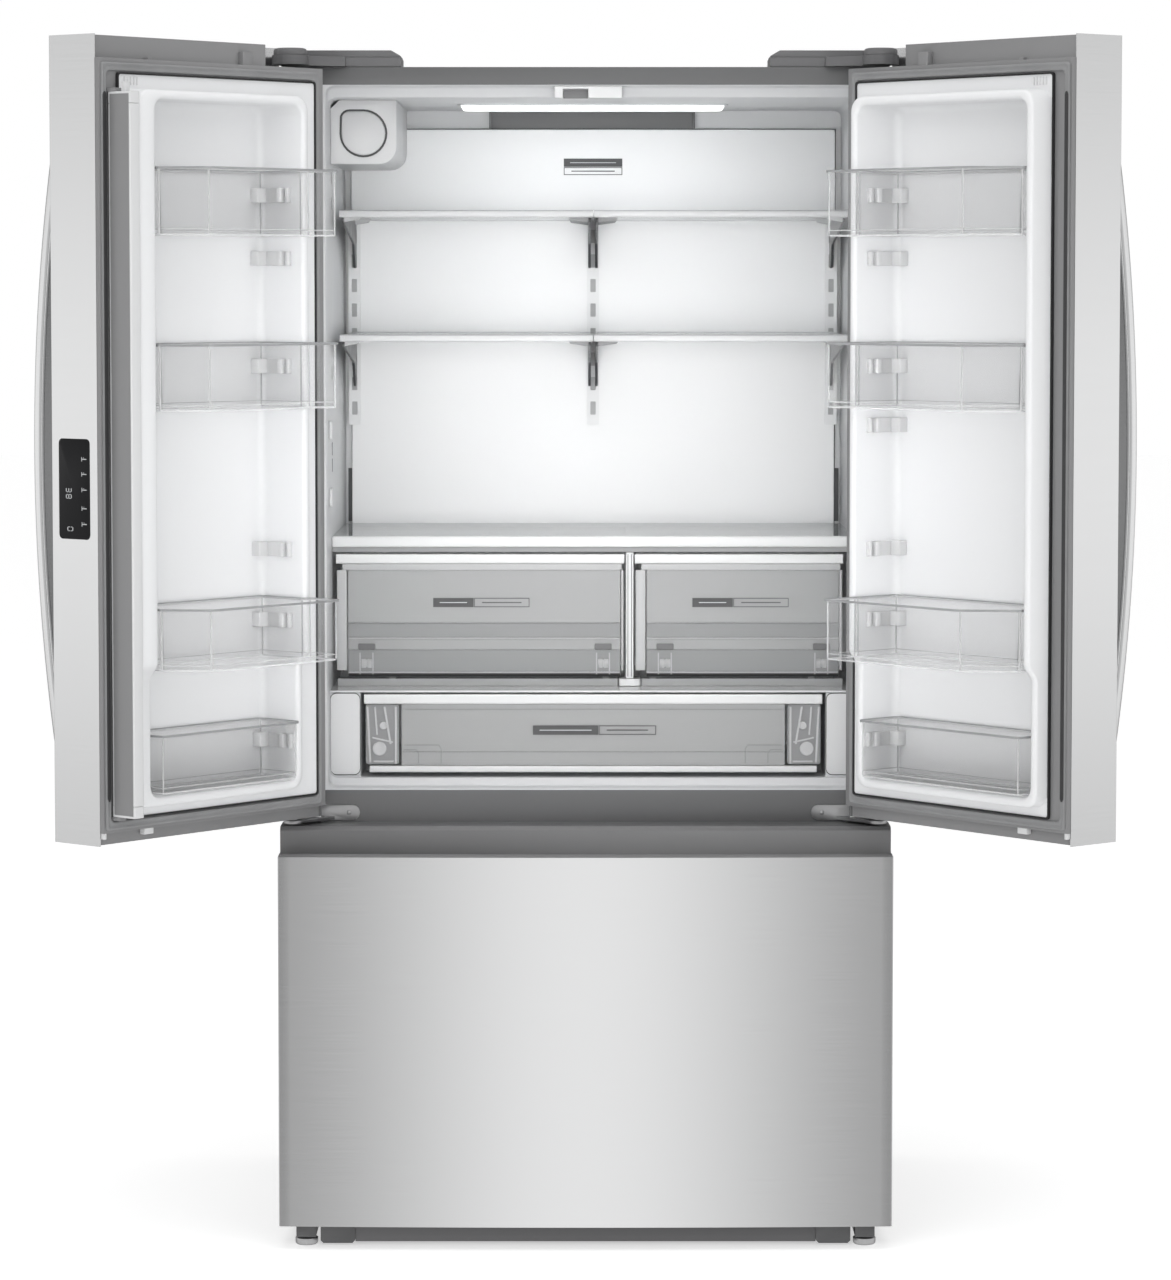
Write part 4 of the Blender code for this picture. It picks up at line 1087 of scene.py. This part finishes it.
def crisper_divider():
    """Upright panel between the crispers, with a post in front of it on a foot, and dark strips as painted
    shade down the post's sides.
    """
    divider = Shape()
    divider.block((0.0636, 0.0702), (0.2425, 0.598), (0.8275, 1.0368))
    post = rounded(0.0610, 0.0728, 0.2285, 0.2420, 0.002, 4)
    divider.slab(at_z, post, 0.8270, 1.0185)
    foot = rounded(0.0505, 0.0835, 0.2295, 0.2690, 0.004, 4)
    divider.slab(at_z, foot, 0.8153, 0.8262)
    cabinet_piece(divider, "crisper_divider", "trim_white", "liner_white", round_edges=0.0008)
    # thin dark plates: painted shade down the post's sides, and two dark lines down its front
    sides = Shape()
    for x in (0.0601, 0.0730):
        sides.block((x, x + 0.0006), (0.2300, 0.2410), (0.8290, 1.0170))
    for x in (0.0637, 0.0690):
        sides.block((x, x + 0.0011), (0.2281, 0.2286), (0.8300, 1.0160))
    cabinet_piece(sides, "divider_side_shades", "dark_grey", "dark_grey")


def open_tray(x, y, radius, low, high, wall=0.003):
    """Drafted walls and floor, with a rolled lip."""
    outline = softened(rect(*x, *y), radius, 4)
    profile = [(0.0040, low), (0.0015, low + 0.0012), (0.0010, low + 0.004)]
    profile += [(0.0016, high - 0.008), (0.0003, high - 0.006), (0.0, high - 0.002), (0.0010, high)]
    profile += [(0.0036, high), (0.0042, high - 0.002)]
    profile += [(0.0030 + wall, low + 0.008), (0.0060 + wall, low + wall)]
    return Shape().loft([at_z(inset(outline, distance), z) for distance, z in profile])


# the two bright lines are painted highlights on the front's steps, and the near-black foot band is painted
# shadow under the drawer
DRAWER_BANDS = [
    ("face", "smoked", 0.2350, (0.9112, 0.9912)),
    ("upper_band", "smoked_dark", 0.2368, (0.8888, 0.9106)),
    ("upper_line", "bin_edge", 0.2356, (0.8862, 0.8884)),
    ("middle_band", "smoked", 0.2368, (0.8702, 0.8858)),
    ("lower_band", "smoked_dark", 0.2378, (0.8368, 0.8698)),
    ("lower_line", "bin_edge", 0.2360, (0.8342, 0.8364)),
    ("foot_line", "gap_dark", 0.2384, (0.8292, 0.8338)),
]
PANTRY_BANDS = [
    ("upper_band", "smoked", 0.1622, (0.7868, 0.7942)),
    ("face", "smoked_pale", 0.1632, (0.7222, 0.7864)),
    ("lower_band", "smoked", 0.1640, (0.7016, 0.7218)),
]


def pieces_of(prefix, body):
    """A function that makes a drawer's pieces, with the drawer's name in front of each."""

    def add(shape, part, look, slot="clear_plastic", **edges):
        return shape.done(f"{prefix}_{part}", look, body, slot, **edges)

    return add


def banded_front(add, bands, x, back):
    """A drawer front stepped into bands, each a little farther back than the one above."""
    for part, look, y, z in bands:
        add(Shape().block(x, (y, back), z), part, look, round_edges=0.0003)


def roller(shape, x, y, z, radius, width):
    """A small wheel with a hub on each side of a groove."""
    profile = [(x, radius * 0.45), (x, radius * 0.95), (x + width * 0.1, radius)]
    profile += [(x + width * 0.42, radius), (x + width * 0.5, radius * 0.82), (x + width * 0.58, radius)]
    profile += [(x + width * 0.9, radius), (x + width, radius * 0.95), (x + width, radius * 0.45)]
    shape.turned(profile, (y, z), "x", 24)


def crisper(side, x0, x1):
    """Crisper drawer: a smoky front under a white rail, a clear tray, and rollers at its lower corners."""
    name = SIDES[side] + "_crisper"
    add = pieces_of(name, name + "_drawer")
    low, high = 0.8272, 1.0160
    rail_low, strip_low, back = 1.0012, 0.9915, 0.2415
    tray = open_tray((x0 + 0.003, x1 - 0.003), (0.2425, 0.597), 0.010, low, high - 0.004)
    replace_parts(add(tray, "tray", "drawer_clear", angle=50), name)
    rail = Shape()
    section = softened(rect(DRAWER_FRONT, back, rail_low, high), 0.0025, 4)
    rail.slab(at_x, section, x0, x1)
    add(rail, "rail", "trim_white", "liner_white", round_edges=0.0005, angle=50)
    strip = Shape()
    strip_high = rail_low - 0.0004
    section = [(0.2335, strip_low), (back, strip_low), (back, strip_high), (0.2320, strip_high)]
    strip.slab(at_x, section, x0 + 0.010, x1 - 0.004)
    add(strip, "strip", "drawer_pale", round_edges=0.0004)
    banded_front(add, DRAWER_BANDS, (x0 + 0.018, x1 - 0.006), 0.2412)
    ends = Shape()
    for a, b in ((x0 + 0.001, x0 + 0.0165), (x1 - 0.0050, x1 - 0.0008)):
        section = softened(rect(a, b, 0.2330, back), 0.002, 3)
        ends.slab(at_z, section, low + 0.012, strip_low - CLEAR)
    add(ends, "ends", "drawer_pale")
    tabs = Shape()
    wheels = Shape()
    for x in (x0 + 0.036, x1 - 0.042):
        tabs.slab(at_y, rounded(x - 0.003, x + 0.023, 0.8705, 0.8795, 0.0015, 3), 0.2315, 0.2345)
        roller(wheels, x + 0.002, 0.2420, 0.8490, 0.0082, 0.016)
        for cheek in (x - 0.001, x + 0.0185):
            wheels.block((cheek, cheek + 0.002), (0.2325, 0.2410), (0.8330, 0.8660))
    add(tabs, "tabs", "dark_grey", "dark_grey", round_edges=0.0005)
    add(wheels, "wheels", "bin_edge", angle=50)


def pantry():
    """Full-width shallow drawer with a white rail, a smoky front and clear roller pods at its ends."""
    add = pieces_of("pantry", "pantry")
    x0, x1 = -0.3365, 0.3595
    low, high = 0.6915, 0.8095
    tray = open_tray((x0 + 0.003, x1 - 0.003), (0.1705, 0.590), 0.010, low, high - 0.003)
    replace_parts(add(tray, "tray", "drawer_clear", angle=50), "pantry_drawer")
    rail = Shape()
    section = softened(rect(PANTRY_FRONT, 0.1695, 0.7946, high), 0.0025, 4)
    rail.slab(at_x, section, x0 + 0.004, x1 - 0.004)
    base = softened(rect(PANTRY_FRONT + 0.001, 0.1695, low, 0.7012), 0.002, 3)
    rail.slab(at_x, base, x0 + 0.012, x1 - 0.012)
    add(rail, "rail", "trim_white", "liner_white", round_edges=0.0005, angle=50)
    banded_front(add, PANTRY_BANDS, (x0 + 0.060, x1 - 0.060), 0.1692)
    ribs = Shape()
    for way, edge in ((1, x0 + 0.060), (-1, x1 - 0.060)):
        for wide, tall in ((0.052, 0.031), (0.018, 0.024)):
            points = [(0.0, tall), (wide, tall), (wide + 0.004, tall - 0.006), (wide + 0.004, 0.003)]
            points += [(wide + 0.0028, 0.003), (wide + 0.0028, tall - 0.0065)]
            points += [(wide - 0.0005, tall - 0.0012), (0.0, tall - 0.0012)]
            outline = [(edge + way * (a + 0.004), 0.7020 + b) for a, b in points]
            ribs.slab(at_y, outline, 0.1606, 0.1618)
    add(ribs, "front_ribs", "smoked_dark", round_edges=0.0002)
    pantry_pods(add, x0, x1)


def pantry_pods(add, x0, x1):
    """Clear folded housings at both ends of the drawer front, each round a small wheel, their folds drawn
    bright as painted highlights.
    """
    backs, folds, wheels = Shape(), Shape(), Shape()
    slats = [
        ((0.0015, 0.7900), (0.0045, 0.7900), (0.0085, 0.7060), (0.0055, 0.7060)),
        ((0.0130, 0.7900), (0.0155, 0.7900), (0.0185, 0.7480), (0.0160, 0.7480)),
        ((0.0270, 0.7900), (0.0300, 0.7900), (0.0390, 0.7340), (0.0360, 0.7340)),
        ((0.0440, 0.7900), (0.0470, 0.7900), (0.0470, 0.7040), (0.0440, 0.7040)),
        ((0.0100, 0.7450), (0.0410, 0.7380), (0.0410, 0.7355), (0.0100, 0.7425)),
        ((0.0120, 0.7090), (0.0420, 0.7090), (0.0420, 0.7065), (0.0120, 0.7065)),
    ]
    for way, edge in ((1, x0 + 0.006), (-1, x1 - 0.006)):
        face = rounded(*sorted((edge, edge + way * 0.050)), 0.7030, 0.7935, 0.004, 4)
        backs.slab(at_y, face, 0.1672, 0.1692)
        for slat in slats:
            folds.slab(at_y, [(edge + way * a, b) for a, b in slat], 0.1618, 0.1668)
        for offset, z, radius in ((0.0210, 0.7270, 0.0105), (0.0270, 0.7620, 0.0060)):
            rim = [(0.1612, 0.55), (0.1606, 0.75), (0.1606, 0.92), (0.1614, 1.0), (0.1655, 1.0)]
            rim = [(y, radius * share) for y, share in rim]
            wheels.turned(rim, (edge + way * offset, z), "y", 24)
    add(backs, "pod_backs", "smoked_dark", round_edges=0.0004)
    add(folds, "pod_folds", "bin_edge", round_edges=0.0004)
    add(wheels, "pod_wheels", "drawer_pale", angle=50)


def pantry_cover():
    """Clear cover over the pantry with a white front edge, and the sills in front of the crispers."""
    shape = Shape()
    shape.block(PANTRY_COVER_X, (PANTRY_FRONT + 0.002, COVER_BACK), PANTRY_COVER_Z)
    for x in (-0.300, 0.026, 0.098, 0.340):
        shape.block((x, x + 0.010), (0.280, 0.595), (0.8150, 0.8266))
    made = cabinet_piece(shape, "pantry_cover_piece", "cover_plastic", "clear_plastic", round_edges=0.0005)
    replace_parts(made, "pantry_cover")
    edge = Shape()
    section = softened(rect(PANTRY_FRONT, PANTRY_FRONT + 0.0018, *PANTRY_COVER_Z), 0.0006, 2)
    edge.slab(at_x, section, *PANTRY_COVER_X)
    cabinet_piece(edge, "pantry_cover_edge", "trim_white", "clear_plastic", angle=50)
    sill = Shape()
    for x in ((-0.376, 0.0490), (0.0850, 0.3900)):
        sill.block(x, (0.2340, 0.2375), (0.8150, 0.8262))
    cabinet_piece(sill, "drawer_sills", "smoked_pale", "clear_plastic", round_edges=0.0005)


def liner_fittings():
    """Face plates beside the pantry with a painted shadow round them, small clips on the side walls, and
    dark plates on the left wall as painted shade in its slots.
    """
    plates = Shape()
    for x in ((WALL_LEFT + 0.0012, -0.3388), (0.3618, WALL_RIGHT - 0.0012)):
        corners = rounded(*x, 0.6885, 0.8105, 0.009, 5)
        plates.slab(at_y, corners, 0.1578, 0.1597)
    cabinet_piece(plates, "housing_plates", "trim_white", "liner_white", round_edges=0.0007)
    # near-black rings just behind the face plates: painted shadow round their edges
    rims = Shape()
    for x in ((WALL_LEFT + 0.0002, -0.3378), (0.3608, WALL_RIGHT - 0.0002)):
        rims.slab(at_y, rounded(*x, 0.6872, 0.8116, 0.010, 5), 0.15972, 0.15995)
    cabinet_piece(rims, "housing_edge_shadows", "gap_dark", "dark_grey")
    # flat dark plates on the left wall: painted shade where its slots are
    holes = Shape()
    clips = Shape()
    for z in (1.585, 1.545, 1.290, 1.175, 1.150):
        outline = rounded(0.238, 0.246, z - 0.010, z + 0.010, 0.002, 3)
        holes.slab(at_x, outline, WALL_LEFT + CLEAR, WALL_LEFT + 0.0008)
    for z in (1.205, 1.105):
        outline = rounded(0.165, 0.185, z - 0.014, z + 0.014, 0.004, 3)
        clips.slab(at_x, outline, WALL_LEFT + CLEAR, WALL_LEFT + 0.0050)
        clips.slab(at_x, outline, WALL_RIGHT - 0.0050, WALL_RIGHT - CLEAR)
    cabinet_piece(holes, "wall_slot_shades", "dark_grey", "dark_grey")
    cabinet_piece(clips, "wall_clips", "trim_white", "liner_white", round_edges=0.0008)


def lamp():
    """Opal strip in a shallow bezel under the ceiling."""
    refined("led_lens", "lamp_white", 0.0015)
    shape = Shape()
    outer = rounded(-0.197, 0.219, 0.362, 0.530, 0.012, 5)
    inner = rounded(-0.1915, 0.2135, 0.3675, 0.5245, 0.0103, 5)
    shape.loft([at_z(outline, z) for outline, z in band(outer, inner, 1.6975, 1.6996)], joined=True)
    # the bezel takes the darker liner plastic, as painted shade under the ceiling
    cabinet_piece(shape, "lamp_bezel", "liner_painted_shade", "liner_white", angle=50)


def filter_groove_shadow():
    """Near-black ring round the filter cap, whose upper left quarter is squared off: painted shade in its
    groove.
    """
    x, z = -0.334, 1.650
    radius, corner = 0.0332, 0.012
    points = arc((x, z), radius, 180, 450, 24)
    points += arc((x - radius + corner, z + radius - corner), corner, 90, 180, 5)[:-1]
    shape = Shape()
    rings = [at_y(inset(points, distance), y) for distance, y in band(-0.0028, 0.0, 0.2269, 0.2262)]
    shape.loft(rings, joined=True)
    cabinet_piece(shape, "filter_groove_shadow", "print_and_shadow_black", "dark_grey", angle=50)


def striker_notch():
    """Grey plates drawn in the recess under the mullion's striker: painted shade there."""
    shape = Shape()
    shape.block((-0.0325, 0.0035), (0.1262, 0.1279), (1.6980, 1.7108))
    shape.block((-0.0328, 0.0038), (0.0995, 0.1262), (1.7100, 1.7109))
    cabinet_piece(shape, "striker_recess_shade", "door_frame_grey", "dark_grey")


def interior():
    back_panel()
    shelf_tracks()
    air_outlet()
    badge("duct_badge", "cabinet", (-0.0345, 0.0585), 0.6090, (1.597, 1.623), 0.5, upright=True)
    for level in SHELF_TOPS:
        for side in SIDES:
            shelf(level, side)
    crisper_cover()
    crisper_divider()
    crisper(-1, -0.378, 0.0588)
    crisper(1, 0.0746, 0.390)
    badge("left_crisper_badge", "left_crisper_drawer", (-0.2310, -0.0850), 0.2349, (0.9350, 0.9490), 0.42)
    badge("right_crisper_badge", "right_crisper_drawer", (0.1620, 0.3080), 0.2349, (0.9350, 0.9490), 0.42)
    pantry()
    badge("pantry_badge", "pantry", (-0.0790, 0.1060), 0.1619, (0.7480, 0.7620), 0.53)
    pantry_cover()
    liner_fittings()
    lamp()
    filter_groove_shadow()
    striker_notch()
    # the compartment's lining takes the darker liner plastic: painted shade
    refined("fridge_liner", "liner_painted_shade", 0.002, 3)
    refined("filter_housing", "trim_white", 0.003, 3)
    refined("filter_cap", "trim_white", 0.0012)
    refined("mullion_striker", "trim_white", 0.0012)


# ---------- hinges, freezer and outside ----------
def top_hinge(side):
    """Cover over the hinge: a plate, a round boss over the pin and a box with a sloped end."""
    x, y = side * (FRONT_HALF - HINGE_U), DOOR_INNER + HINGE_V

    def around(outline):
        points = [(x - side * a, y + b) for a, b in outline]
        return points if side < 0 else points[::-1]

    nose = arc((0, 0), 0.0268, 128, 390, 24)
    outline = nose + [(0.078, 0.040), (0.078, 0.054), (0.1595, 0.054), (0.1595, 0.150), (-0.0165, 0.150)]
    plate, top = (1.7434, 1.7575), 1.7678
    step = plate[1] + 0.0002
    shape = Shape().slab(at_z, around(outline), *plate)
    levels = ((0.1585, step), (0.1585, 1.7600), (0.1450, top))
    boxes = [(softened(rect(-0.0155, end, 0.057, 0.149), 0.004, 4), z) for end, z in levels]
    shape.loft([at_z(around(box), z) for box, z in boxes])
    boss = [(step, 0.0245), (1.7640, 0.0245), (1.7668, 0.0228), (top, 0.0195)]
    shape.turned(boss, (x, y), "z", 40)
    shape.turned([(1.76785, 0.0066), (1.7680, 0.0050)], (x, y), "z", 20)
    name = SIDES[side] + "_top_hinge"
    made = cabinet_piece(shape, name + "_piece", "cover_grey", "dark_grey", round_edges=0.0012)
    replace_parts(made, name)


def screws(name, places, way, radius):
    """Rounded screw heads that face the front, way -1, or the back, way 1."""
    shape = Shape()
    head = [(0.0, radius), (0.0006, radius), (0.0014, radius * 0.75), (0.0016, radius * 0.4)]
    for x, y, z in places:
        shape.turned([(y + way * a, r) for a, r in head], (x, z), "y", 20)
    cabinet_piece(shape, name, "zinc", "zinc", angle=50)


def outside():
    for side in SIDES:
        top_hinge(side)
        refined(SIDES[side] + "_lower_hinge", "bright_zinc", 0.0010)
        leveling_foot(side)
    screws("hinge_screws", [(side * 0.3520, 0.0934, 0.6388) for side in SIDES], -1, 0.0032)
    back = 0.7165
    rear = [(x, back, z) for x in (-0.435, 0.435) for z in (0.06, 0.45, 0.90, 1.35, 1.72)]
    rear += [(x, back, z) for x in (-0.22, 0.0, 0.22) for z in (0.055, 1.725)]
    screws("rear_screws", rear, 1, 0.0042)
    refined("cabinet_shell", "painted_cabinet", 0.0009)
    freezer_skin()
    refined("freezer_front_core", "core_grey", 0.0010)
    refined("freezer_gasket", "seal_grey", 0.0008)
    refined("toe_grille", "dark_grey", 0.0008)


def freezer_skin():
    """Steel wrapped round the freezer drawer's front."""
    wrap, low, high = 0.083, 0.035, 0.584
    path = folded_sheet(-FRONT_HALF, FRONT_HALF, front_y, (wrap, wrap))
    shape = Shape().slab(at_z, path, low, high)
    made = shape.done("freezer_skin", "stainless", "freezer_drawer", "stainless", angle=40)
    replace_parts(made, "freezer_front_shell")


def leveling_foot(side):
    """Plated disc on a dark stem."""
    name = SIDES[side] + "_leveling_foot"
    centre = (side * 0.4145, 0.045)
    disc = Shape()
    profile = [(0.0001, 0.0145), (0.0012, 0.0160), (0.0035, 0.0169), (0.0098, 0.0169), (0.0109, 0.0155)]
    disc.turned(profile, centre, "z")
    made = disc.done(name + "_disc", "zinc", SIDES[side] + "_foot", "zinc", angle=50)
    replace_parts(made, name)
    stem = Shape()
    ring = [(0.0111, 0.0059)]
    for i in range(9):
        z = 0.0118 + i * 0.002
        ring += [(z, 0.0050), (z + 0.001, 0.0059)]
    stem.turned(ring, centre, "z", 24)
    stem.done(name + "_stem", "dark_grey", SIDES[side] + "_foot", "zinc")


def freezer_trays():
    """Deep basket on its slide members and the shallow tray above it."""
    basket = open_tray((-0.350, 0.350), (0.0925, 0.450), 0.014, 0.085, 0.400, 0.004)
    made = basket.done("freezer_basket_piece", "drawer_clear", "freezer_drawer", "clear_plastic", angle=50)
    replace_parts(made, "freezer_basket")
    members = Shape()
    length = (0.0925, 0.4495)
    for side in SIDES:
        members.block((side * 0.3515, side * 0.3782), length, (0.3115, 0.3335))
        members.block((side * 0.3490, side * 0.3512), length, (0.3105, 0.3345))
    members.done("inner_members", "zinc", "freezer_drawer", "zinc", round_edges=0.001)
    tray = open_tray((-0.346, 0.346), (0.110, 0.400), 0.012, 0.4008, 0.490)
    made = tray.done("freezer_tray_piece", "drawer_clear", "upper_freezer_tray", "clear_plastic", angle=50)
    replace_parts(made, "freezer_tray")


interior()
outside()
freezer_trays()
# every CAD node that nothing stands for keeps its shape, with rounded edges
REPLACED = {node for piece in bpy.data.objects for node in piece.get("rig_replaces", [])}
for node in NODES:
    if node not in REPLACED:
        refined(node)


# ---------- studio ----------
def floor():
    shape = bmesh.new()
    reach = 30
    shape.faces.new([shape.verts.new((x, y, 0)) for x, y in rect(-reach, reach, -reach, reach)])
    mesh = bpy.data.meshes.new("studio_floor")
    shape.to_mesh(mesh)
    shape.free()
    made = bpy.data.objects.new("studio_floor", mesh)
    bpy.context.scene.collection.objects.link(made)
    look = Look("floor_paper", (0.93, 0.93, 0.93), 0.85)
    look.vary_colour(look.noise(EVEN, 3.0), (0.925,) * 3, (0.935,) * 3)
    look.set("Emission Color", WHITE)
    look.set("Emission Strength", 0.5)
    mesh.materials.append(look.material)
    made.visible_glossy = False


def area_light(name, place, target, size, power, spread=180.0):
    lamp = bpy.data.lights.new(name, "AREA")
    lamp.shape = "RECTANGLE"
    lamp.size, lamp.size_y = size
    lamp.energy = power
    made = bpy.data.objects.new(name, lamp)
    bpy.context.scene.collection.objects.link(made)
    made.location = place
    made.rotation_euler = (Vector(target) - Vector(place)).to_track_quat("-Z", "Y").to_euler()
    made.visible_camera = False
    made.visible_glossy = False
    lamp.spread = math.radians(spread)


def ramp(tree, source, stops):
    """A colour ramp from (position, value) pairs."""
    curve = tree.nodes.new("ShaderNodeValToRGB")
    elements = curve.color_ramp.elements
    for _ in stops[2:]:
        elements.new(0.5)
    for element, (position, value) in zip(elements, stops):
        element.position = position
        element.color = (value, value, value, 1.0)
    tree.links.new(source, curve.inputs["Fac"])
    return curve.outputs["Color"]


def calculate(tree, operation, *values):
    """A math node: plain numbers are set on its sockets, and the rest are linked to them."""
    made = tree.nodes.new("ShaderNodeMath")
    made.operation = operation
    for socket, value in zip(made.inputs, values):
        if isinstance(value, float):
            socket.default_value = value
        else:
            tree.links.new(value, socket)
    return made.outputs["Value"]


# brightness by the angle from straight in front, where 1 is straight behind
AROUND = [(0.0, 1.7), (0.014, 1.5), (0.022, 1.26), (0.03, 1.05), (0.04, 0.72), (0.05, 0.51)]
AROUND += [(0.065, 0.46), (0.085, 0.52), (0.12, 0.8), (0.2, 0.9), (0.3, 0.9), (0.42, 1.85)]
AROUND += [(0.55, 1.85), (0.7, 1.0), (1.0, 0.9)]
# brightness by height, where 0.5 is the horizon
UPRIGHT = [(0.0, 0.44), (0.42, 0.44), (0.4325, 0.5), (0.456, 0.78), (0.4815, 1.0)]
UPRIGHT += [(0.506, 0.82), (0.53, 0.52), (0.54, 0.47), (1.0, 0.44)]
# how far the brightness by height counts at each angle from straight in front
SIDEWAYS = [(0.25, 0.0), (0.38, 1.0)]
STUDIO = 0.8
WHITE = (1.0, 1.0, 1.0, 1.0)


def world():
    """A pale studio: plain white where the camera looks, with soft bright and dim parts for reflections.

    Brightness follows the angle from straight in front. To the sides it also falls off above and
    below the horizon.
    """
    made = bpy.data.worlds.new("studio")
    bpy.context.scene.world = made
    made.use_nodes = True
    tree = made.node_tree
    new, join = tree.nodes.new, tree.links.new
    tree.nodes.clear()
    place = new("ShaderNodeTexCoord")
    split = new("ShaderNodeSeparateXYZ")
    join(place.outputs["Generated"], split.inputs["Vector"])
    ahead = calculate(tree, "MULTIPLY", split.outputs["Y"], -1.0)
    turn = calculate(tree, "ARCTAN2", split.outputs["X"], ahead)
    turn = calculate(tree, "DIVIDE", calculate(tree, "ABSOLUTE", turn), math.pi)
    height = calculate(tree, "MULTIPLY_ADD", split.outputs["Z"], 0.5, 0.5)
    around = ramp(tree, turn, AROUND)
    loss = calculate(tree, "SUBTRACT", 1.0, ramp(tree, height, UPRIGHT))
    keep = calculate(tree, "SUBTRACT", 1.0, calculate(tree, "MULTIPLY", loss, ramp(tree, turn, SIDEWAYS)))
    strength = calculate(tree, "MULTIPLY", calculate(tree, "MULTIPLY", around, keep), STUDIO)
    studio = new("ShaderNodeBackground")
    studio.inputs["Color"].default_value = WHITE
    join(strength, studio.inputs["Strength"])
    plain = new("ShaderNodeBackground")
    plain.inputs["Color"].default_value = WHITE
    seen = new("ShaderNodeLightPath")
    mix = new("ShaderNodeMixShader")
    out = new("ShaderNodeOutputWorld")
    join(seen.outputs["Is Camera Ray"], mix.inputs["Fac"])
    join(studio.outputs["Background"], mix.inputs[1])
    join(plain.outputs["Background"], mix.inputs[2])
    join(mix.outputs["Shader"], out.inputs["Surface"])


CAMERA_PLACE = (0.0, -6.6465, 1.4246)
CAMERA_DOWN = 3.784
SENSOR, LENS, SHIFT = 36.0, 124.35, -0.05


def camera():
    """Straight in front, tipped down a little, with the rest of the framing by a small shift."""
    lens = bpy.data.cameras.new("camera")
    lens.sensor_width = SENSOR
    lens.lens = LENS
    lens.shift_y = SHIFT
    lens.clip_end = 100.0
    made = bpy.data.objects.new("camera", lens)
    bpy.context.scene.collection.objects.link(made)
    made.location = CAMERA_PLACE
    made.rotation_euler = (math.radians(90.0 - CAMERA_DOWN), 0.0, 0.0)
    bpy.context.scene.camera = made


floor()
world()
area_light("key", (-1.6, -5.2, 3.4), (0, 0.1, 0.9), (2.6, 2.2), 36.0)
area_light("fill", (1.8, -5.0, 2.6), (0, 0.1, 0.9), (2.4, 2.6), 18.0)
area_light("inside", (0.0, -3.0, 1.25), (0.0, 0.4, 1.17), (0.6, 0.8), 2.0, 30.0)
area_light("top", (0.0, -0.6, 4.2), (0, 0.0, 0.0), (3.0, 2.4), 45.0)
camera()
bpy.context.scene.view_settings.view_transform = "Standard"
